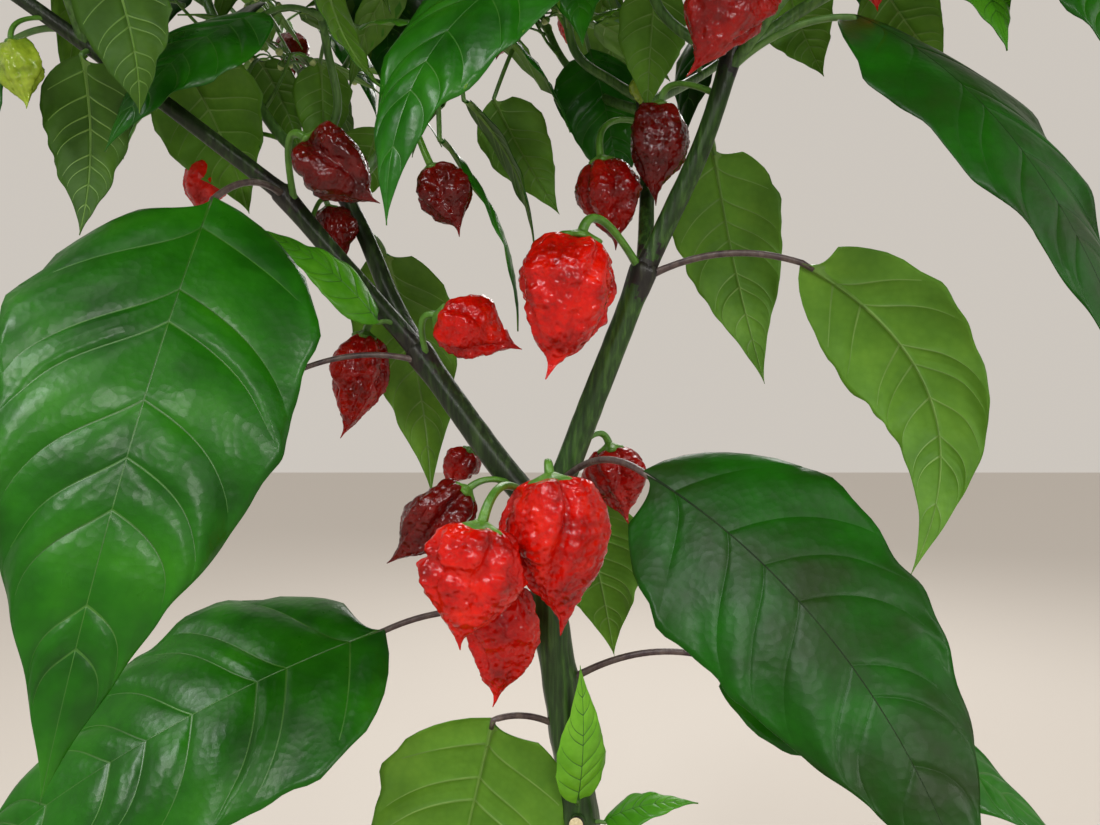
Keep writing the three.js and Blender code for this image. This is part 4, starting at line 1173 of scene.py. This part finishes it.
def make_mass(name):
    """A mass of foliage, as a piece of leaves, one of twigs and one of pods and buds."""
    twigs, blades, fruit = (Piece(f"{name}_{kind}") for kind in ("twigs", "leaves", "fruit"))
    for stem in stems.values():
        if stem.node == name:
            add_twig(twigs, stem, name)
    for leaf in leaves:
        if leaf.node == name:
            add_leaf(blades, leaf)
    for pod in pods:
        if pod.node == name:
            add_pod(fruit, pod, POD_POINTS.shown if pod.shown else POD_POINTS.seeded)
    for bud in buds:
        if bud.node == name:
            add_bud(fruit, bud)
    for piece, slot in ((twigs, "foliage"), (blades, "foliage"), (fruit, "pod")):
        piece.make(slot, name)


def choose_looks():
    """Tone, detail and stalk for every leaf, dealt out in turn where the photograph doesn't say."""
    for index, leaf in enumerate(leaves):
        draw = seeded(SEEDED_LOOKS.seed + SEEDED_LOOKS.step * index)
        leaf.twist = sway(draw, 16)
        leaf.stalk = "petiole_purple" if leaf.owner in PURPLE_STALKS else "petiole_green"
        leaf.relief = SMOOTH if leaf.shown and leaf.tone == "dark" else 1.0
        if leaf.shown:
            leaf.cup = 1.0
            leaf.detail = "full" if leaf.node == leaf.owner and leaf.width > FINE_FROM.full else "shown"
        else:
            length, tones = leaf_length(leaf), SEEDED_LOOKS.tones
            leaf.cup = 0.8 + 0.7 * draw()
            leaf.tone = "young" if length < SEEDED_LOOKS.young else tones[int(len(tones) * draw())]
            leaf.detail = "small" if length < FINE_FROM.seeded else "seeded"


# Pot and soil
def wall_radius(height):
    """The outer radius of the pot's wall at a height."""
    return mix(POT.foot_radius, POT.rim_radius - BAND.step, height / POT.height)


def lathe_rings(profile, sides):
    """Rings round the upright axis, from (radius, height) pairs."""
    radii, heights = vec(profile).T[..., None]
    rings = round_axis(vec((1, 0, 0)), vec((0, 1, 0)), radii, turns(sides))
    rings[..., 2] = heights
    return rings


def rounded(profile, steps):
    """A profile with further points on its straight stretches."""
    points = []
    for a, b in zip(profile, profile[1:]):
        count = max(1, int(np.hypot(b[0] - a[0], b[1] - a[1]) / steps))
        points += [tuple(mix(vec(a), vec(b), i / count)) for i in range(count)]
    return points + [profile[-1]]


def make_pot():
    band = POT.height - BAND.height
    profile = [
        (2, 0), (POT.foot_radius - 2, 0), (POT.foot_radius - 0.6, 0.6), (POT.foot_radius, 2),
        (wall_radius(band), band), (wall_radius(band) + BAND.step * 0.6, band + 0.8),
        (wall_radius(band) + BAND.step, band + 3), (POT.rim_radius, POT.height - 3),
        (POT.rim_radius - 0.8, POT.height - 0.8), (POT.rim_radius - 3, POT.height),
        (wall_radius(POT.height) - POT.wall + 2, POT.height),
        (wall_radius(POT.height) - POT.wall + 0.4, POT.height - 0.8),
        (wall_radius(POT.height - 3) - POT.wall, POT.height - 3),
        (wall_radius(POT.floor) - POT.wall, POT.floor), (2, POT.floor),
    ]
    piece = Piece("clay_pot")
    add_tube(piece, lathe_rings(rounded(profile, 5), POT_SIDES)[:, ::-1], "clay")
    piece.make("pot", "pot")


def make_soil():
    """Crumbly soil, a little sunk towards the wall, on a plain block that fills the pot."""
    reach = wall_radius(SOIL_TOP) - POT.wall - 0.8
    radii = np.concatenate([[1.5], np.linspace(5, reach, 46)])
    top = lathe_rings([(r, 0) for r in radii], SOIL_SIDES)
    sag = SOIL_SAG * (radii / reach) ** 2
    lumps = 1.9 * soft_noise(top, 9, 31) + 0.6 * soft_noise(top, 2.5, 33)
    lumps += 1.3 * (blisters(top, 5.5, 32) - 0.4)
    edge = np.clip((reach - radii) / 3, 0, 1)[:, None]
    top[..., 2] = SOIL_TOP - 1.6 - sag[:, None] + lumps * edge
    floor = POT.floor + 0.3
    inside = wall_radius(floor) - POT.wall - 0.6
    wall = lathe_rings([(reach, SOIL_TOP - SOIL_SAG - 8), (inside, floor), (2, floor)], SOIL_SIDES)
    piece = Piece("potting_soil")
    add_tube(piece, np.concatenate([top, wall])[:, ::-1], "soil")
    add_crumbs(piece, reach)
    piece.make("soil", "soil")


def add_crumbs(piece, reach):
    """Loose crumbs, bark chips and pale grains on the soil."""
    draw = seeded(CRUMBS.seed)
    ball = lathe_rings([(0.25, -0.95), (0.8, -0.6), (1.0, 0.0), (0.75, 0.62), (0.22, 0.95)], 7)
    for _ in range(CRUMBS.count):
        radius, turn = (reach - 6) * math.sqrt(draw()), 360 * draw()
        if radius < STEM_RADII[0] + FLARE.extra + 3:
            continue
        size = vec((1 + 2.6 * draw(), 1 + 2 * draw(), 0.6 + 1.2 * draw()))
        at = heading(turn, 0) * radius + UP * (SOIL_TOP - 1.2 - SOIL_SAG * (radius / reach) ** 2)
        a = math.radians(360 * draw())
        spin = np.array([[math.cos(a), -math.sin(a), 0], [math.sin(a), math.cos(a), 0], [0, 0, 1]])
        lumps = 1 + 0.25 * soft_noise(ball + at, 0.9, 8)[..., None]
        look = CRUMBS.looks[int(len(CRUMBS.looks) * draw() ** 1.6)]
        add_tube(piece, (ball * lumps * size) @ spin.T + at, look)


# Materials
materials = {}
WHITE = (1, 1, 1, 1)


def colour(tone):
    """A tone as seen, from 0 to 255, as the light that Blender works with."""
    parts = [c / 255 for c in tone]
    return (*(p / 12.92 if p <= 0.04045 else ((p + 0.055) / 1.055) ** 2.4 for p in parts), 1.0)


class Look:
    """A material, with patterns that follow the place on the object."""

    def __init__(self, name, roughness, specular=0.5):
        material = bpy.data.materials.new(name)
        material.use_nodes = True
        materials[name] = material
        self.nodes, self.links = material.node_tree.nodes, material.node_tree.links
        self.shader = self.nodes["Principled BSDF"].inputs
        self.shader["Roughness"].default_value = roughness
        self.shader["Specular IOR Level"].default_value = specular
        self.painted = self.relief = None

    def node(self, kind, inputs, **settings):
        """A new node's outputs. Each of its inputs takes a plain value or another node's output."""
        made = self.nodes.new(f"ShaderNode{kind}")
        for name, value in settings.items():
            setattr(made, name, value)
        for name, value in inputs.items():
            if isinstance(value, bpy.types.NodeSocket):
                self.links.new(value, made.inputs[name])
            else:
                made.inputs[name].default_value = value
        return made.outputs

    def place(self, stretch):
        where = self.node("TexCoord", {})["Object"]
        return self.node("Mapping", {"Vector": where, "Scale": stretch})["Vector"]

    def noise(self, scale, detail=3.0, rough=0.55, stretch=(1, 1, 1)):
        """Clouds. A stretch under 1 draws them out that way."""
        inputs = {"Vector": self.place(stretch), "Scale": scale, "Detail": detail, "Roughness": rough}
        return self.node("TexNoise", inputs)["Fac"]

    def cells(self, scale, feature="SMOOTH_F1"):
        inputs = {"Vector": self.place((1, 1, 1)), "Scale": scale}
        return self.node("TexVoronoi", inputs, feature=feature)["Distance"]

    def ramp(self, factor, positions, colours):
        """Colours that follow a factor."""
        ramp = self.nodes.new("ShaderNodeValToRGB")
        elements = ramp.color_ramp.elements
        while len(elements) < len(positions):
            elements.new(0.5)
        for element, position, value in zip(elements, positions, colours):
            element.position = position
            element.color = value
        self.links.new(factor, ramp.inputs["Fac"])
        return ramp.outputs["Color"]

    def blend(self, kind, amount, first, second):
        inputs = {"Factor": amount, "A": first, "B": second}
        return self.node("Mix", inputs, data_type="RGBA", blend_type=kind)["Result"]

    def paint(self, colours):
        self.painted = colours
        self.links.new(colours, self.shader["Base Color"])

    def bump(self, height, depth):
        """Relief in metres from a pattern, on top of the relief so far."""
        inputs = {"Strength": 1.0, "Distance": depth, "Height": height}
        if self.relief:
            inputs["Normal"] = self.relief
        self.relief = self.node("Bump", inputs)["Normal"]
        self.links.new(self.relief, self.shader["Normal"])

    def vary_roughness(self, factor, low, high):
        spread = self.node("MapRange", {"Value": factor, "To Min": low, "To Max": high})
        self.links.new(spread["Result"], self.shader["Roughness"])


def leaf_look(name, *tones, roughness, specular=0.22):
    """A blade's surface: patches of green, a fine net of veinlets and a waxy gloss."""
    look = Look(name, roughness, specular)
    greens = look.ramp(look.noise(38), (0.32, 0.52, 0.74), map(colour, tones))
    net = look.cells(420, "F1")
    veinlets = look.ramp(net, (0.25, 0.75), (WHITE, (0.84, 0.88, 0.8, 1)))
    look.paint(look.blend("MULTIPLY", 0.55, greens, veinlets))
    look.bump(look.noise(100, 2), 0.0004)
    look.bump(net, 0.00008)
    look.vary_roughness(look.noise(90), roughness - 0.06, roughness + 0.1)


def pod_look(name, *tones):
    """A ripe skin: taut and glossy, darker in patches, with fine wrinkles."""
    look = Look(name, 0.2, 0.32)
    look.paint(look.ramp(look.noise(95, 5, 0.6), (0.3, 0.5, 0.72), map(colour, tones)))
    look.bump(look.cells(430), 0.001)
    look.bump(look.noise(800), 0.0002)
    look.vary_roughness(look.noise(240), 0.06, 0.17)


def stem_look(name, *tones):
    """Green skin, streaked lengthwise."""
    look = Look(name, 0.4, 0.34)
    streaks = look.noise(520, stretch=(1, 1, 0.06))
    greens = look.ramp(streaks, (0.3, 0.5, 0.7), map(colour, tones))
    shade = look.ramp(look.noise(60, 4), (0.35, 0.6), ((0.6, 0.62, 0.55, 1), WHITE))
    look.paint(look.blend("MULTIPLY", 0.7, greens, shade))
    look.bump(streaks, 0.00035)
    look.bump(look.noise(700, 4), 0.0001)


def plain_look(name, *tones, scale, roughness, depth, grain, specular=0.5, stretch=(1, 1, 1)):
    """A surface that varies between two colours, with a fine relief."""
    look = Look(name, roughness, specular)
    patches = look.noise(scale, 5, 0.6, stretch)
    look.paint(look.ramp(patches, (0.34, 0.68), map(colour, tones)))
    look.bump(look.noise(grain, 4, stretch=stretch), depth)
    return look


def earth_look(name, *tones, scale, depth, grain, roughness=0.9, specular=0.2):
    plain_look(name, *tones, scale=scale, roughness=roughness, depth=depth, grain=grain, specular=specular)


def clay_look():
    """Fired clay: level turning marks, a mottled body and a pale bloom of salts."""
    tones = (150, 78, 48), (186, 108, 72)
    look = plain_look("clay", *tones, scale=22, roughness=0.86, depth=0.0005, grain=320, specular=0.3)
    bloom = look.ramp(look.noise(9, 6, 0.65), (0.52, 0.74), ((0, 0, 0, 1), (0.16, 0.14, 0.12, 1)))
    look.paint(look.blend("ADD", 1.0, look.painted, bloom))
    look.bump(look.noise(14, 2, stretch=(0.4, 0.4, 26)), 0.0005)


def make_materials():
    leaf_look("leaf_mid", (16, 70, 4), (27, 92, 6), (42, 110, 12), roughness=0.28)
    leaf_look("leaf_dark", (26, 48, 11), (17, 64, 4), (20, 84, 5), roughness=0.34, specular=0.14)
    leaf_look("leaf_light", (46, 108, 12), (64, 128, 20), (84, 144, 30), roughness=0.33)
    leaf_look("leaf_young", (80, 140, 24), (100, 162, 34), (122, 180, 50), roughness=0.36)
    leaf_look("under_light", (68, 110, 22), (82, 126, 30), (96, 140, 38), roughness=0.5)
    # under_dark is a darker copy of under_light: painted shade for the under sides of shown dark leaves in
    # shadow, and a random darker tone for seeded dark leaves
    leaf_look("under_dark", (44, 78, 12), (56, 92, 18), (70, 106, 26), roughness=0.52)
    vein = dict(scale=60, depth=0.0001, grain=500)
    plain_look("vein_upper", (30, 82, 8), (50, 104, 16), roughness=0.36, **vein)
    plain_look("vein_dark", (12, 30, 6), (22, 46, 9), roughness=0.5, specular=0.15, **vein)
    plain_look("vein_under", (80, 118, 34), (106, 142, 56), roughness=0.46, **vein)
    stalk = dict(scale=300, grain=800, stretch=(1, 1, 0.3))
    plain_look("petiole_green", (66, 104, 44), (92, 130, 58), roughness=0.42, depth=0.0002, **stalk)
    plain_look("petiole_purple", (52, 34, 40), (98, 84, 78), roughness=0.4, depth=0.0003, **stalk)
    pod_look("pod_red", (128, 6, 2), (184, 11, 3), (206, 28, 6))
    pod_look("pod_deep", (90, 5, 3), (130, 9, 5), (154, 18, 9))
    pod_look("pod_maroon", (54, 4, 3), (88, 7, 5), (112, 13, 8))
    pod_look("pod_unripe", (96, 124, 28), (134, 158, 40), (160, 180, 60))
    soft = dict(grain=600)
    plain_look("calyx", (60, 102, 24), (92, 136, 44), scale=200, roughness=0.4, depth=0.0003, **soft)
    plain_look("pedicel", (56, 100, 20), (86, 134, 38), scale=150, roughness=0.38, depth=0.0003, **soft)
    plain_look("bud", (150, 170, 96), (190, 200, 140), scale=200, roughness=0.45, depth=0.0001, **soft)
    stem_look("stem", (24, 44, 14), (38, 66, 22), (64, 98, 38))
    stem_look("stem_dark", (18, 28, 12), (27, 42, 17), (48, 70, 30))
    stem_look("stem_node", (18, 15, 17), (32, 30, 26), (48, 50, 36))
    stem_look("twig", (52, 84, 36), (74, 112, 50), (98, 136, 66))
    stem_look("shoot", (70, 108, 44), (92, 134, 58), (116, 154, 74))
    wood = dict(scale=900, roughness=0.75, depth=0.0003, grain=1500, specular=0.3)
    plain_look("cut", (196, 180, 140), (224, 212, 176), **wood)
    clay_look()
    earth_look("soil", (28, 20, 14), (58, 44, 32), scale=240, depth=0.0012, grain=420, roughness=0.95)
    earth_look("crumb", (36, 26, 18), (70, 54, 40), scale=400, depth=0.0006, grain=900, roughness=0.95)
    earth_look("bark_chip", (70, 46, 28), (112, 80, 52), scale=300, depth=0.0006, grain=900)
    earth_look("grain", (176, 168, 152), (214, 208, 194), scale=400, depth=0.0004, grain=900, specular=0.3)


# Stage: floor, light and the photograph's viewpoint
FOCAL_PIXELS, IMAGE_WIDTH = 863, 1100
PLANT_MIDDLE = (0, 0, 0.55)
WARM, COOL = (1.0, 0.98, 0.95), (0.93, 0.97, 1.0)
LIGHTS = [
    ("sun", (-1, -1.5, 2.6), (0, 0, 0), 0.7, 0.9, WARM, "SUN"),
    ("key", (-1.1, -1.3, 2.1), PLANT_MIDDLE, 0.4, 14, COOL),
    ("sparkle_middle", (0.25, -1.5, 1.2), PLANT_MIDDLE, 0.22, 5.5, WARM),
    ("sparkle_left", (-0.7, -1.3, 1.5), PLANT_MIDDLE, 0.22, 5.5, WARM),
    ("sparkle_right", (0.9, -1.1, 0.9), PLANT_MIDDLE, 0.22, 5.5, WARM),
    ("fill", (1.7, -0.6, 1.3), PLANT_MIDDLE, 1.2, 4, (0.96, 0.98, 1.0)),
    ("back", (0.4, 1.6, 1.9), PLANT_MIDDLE, 1.2, 26, WARM),
]


def add_light(name, place, aim, size, power, tint, kind="AREA"):
    """A round light, or a sun of which the size is the angle that it fills."""
    data = bpy.data.lights.new(name, kind)
    data.energy, data.color = power, tint
    if kind == "SUN":
        data.angle = size
    else:
        data.shape, data.size = "DISK", size
    light = bpy.data.objects.new(name, data)
    light.location = place
    light.rotation_mode = "QUATERNION"
    light.rotation_quaternion = (Vector(aim) - Vector(place)).to_track_quat("-Z", "Y")
    light.visible_camera = False
    bpy.context.scene.collection.objects.link(light)


def make_stage():
    Look("floor", 0.85, 0.2).shader["Base Color"].default_value = colour((192, 186, 179))
    bpy.ops.mesh.primitive_plane_add(size=14)
    floor = bpy.context.object
    floor.name = "floor"
    floor.data.materials.append(materials["floor"])
    world = bpy.data.worlds.new("studio")
    world.use_nodes = True
    background = world.node_tree.nodes["Background"].inputs
    background["Color"].default_value = colour((226, 219, 210))
    background["Strength"].default_value = 0.8
    bpy.context.scene.world = world
    bpy.context.scene.view_settings.view_transform = "Standard"
    for light in LIGHTS:
        add_light(*light)


def make_camera():
    data = bpy.data.cameras.new("camera")
    data.sensor_fit, data.sensor_width = "HORIZONTAL", 36
    data.lens = data.sensor_width * FOCAL_PIXELS / IMAGE_WIDTH
    data.clip_start = 0.01
    camera = bpy.data.objects.new("camera", data)
    camera.location = [c * MM for c in EYE]
    camera.rotation_euler = (math.pi / 2, 0, 0)
    bpy.context.scene.collection.objects.link(camera)
    bpy.context.scene.camera = camera


def make_plant():
    for name in ["main_stem"] + [limb[0] for limb in LIMBS]:
        make_limb(stems[name])
    for mass in MASSES:
        make_mass(mass[0])
    for leaf in leaves:
        if leaf.node == leaf.owner:
            piece = Piece(f"{leaf.node}_blade")
            add_leaf(piece, leaf)
            piece.make("leaf", leaf.node)
    for pod in pods:
        if pod.node == pod.owner:
            piece = Piece(f"{pod.node}_fruit")
            add_pod(piece, pod, POD_POINTS.single)
            piece.make("pod", pod.node)


make_camera()
make_materials()
make_stage()
grow_plant()
choose_looks()
make_plant()
make_pot()
make_soil()
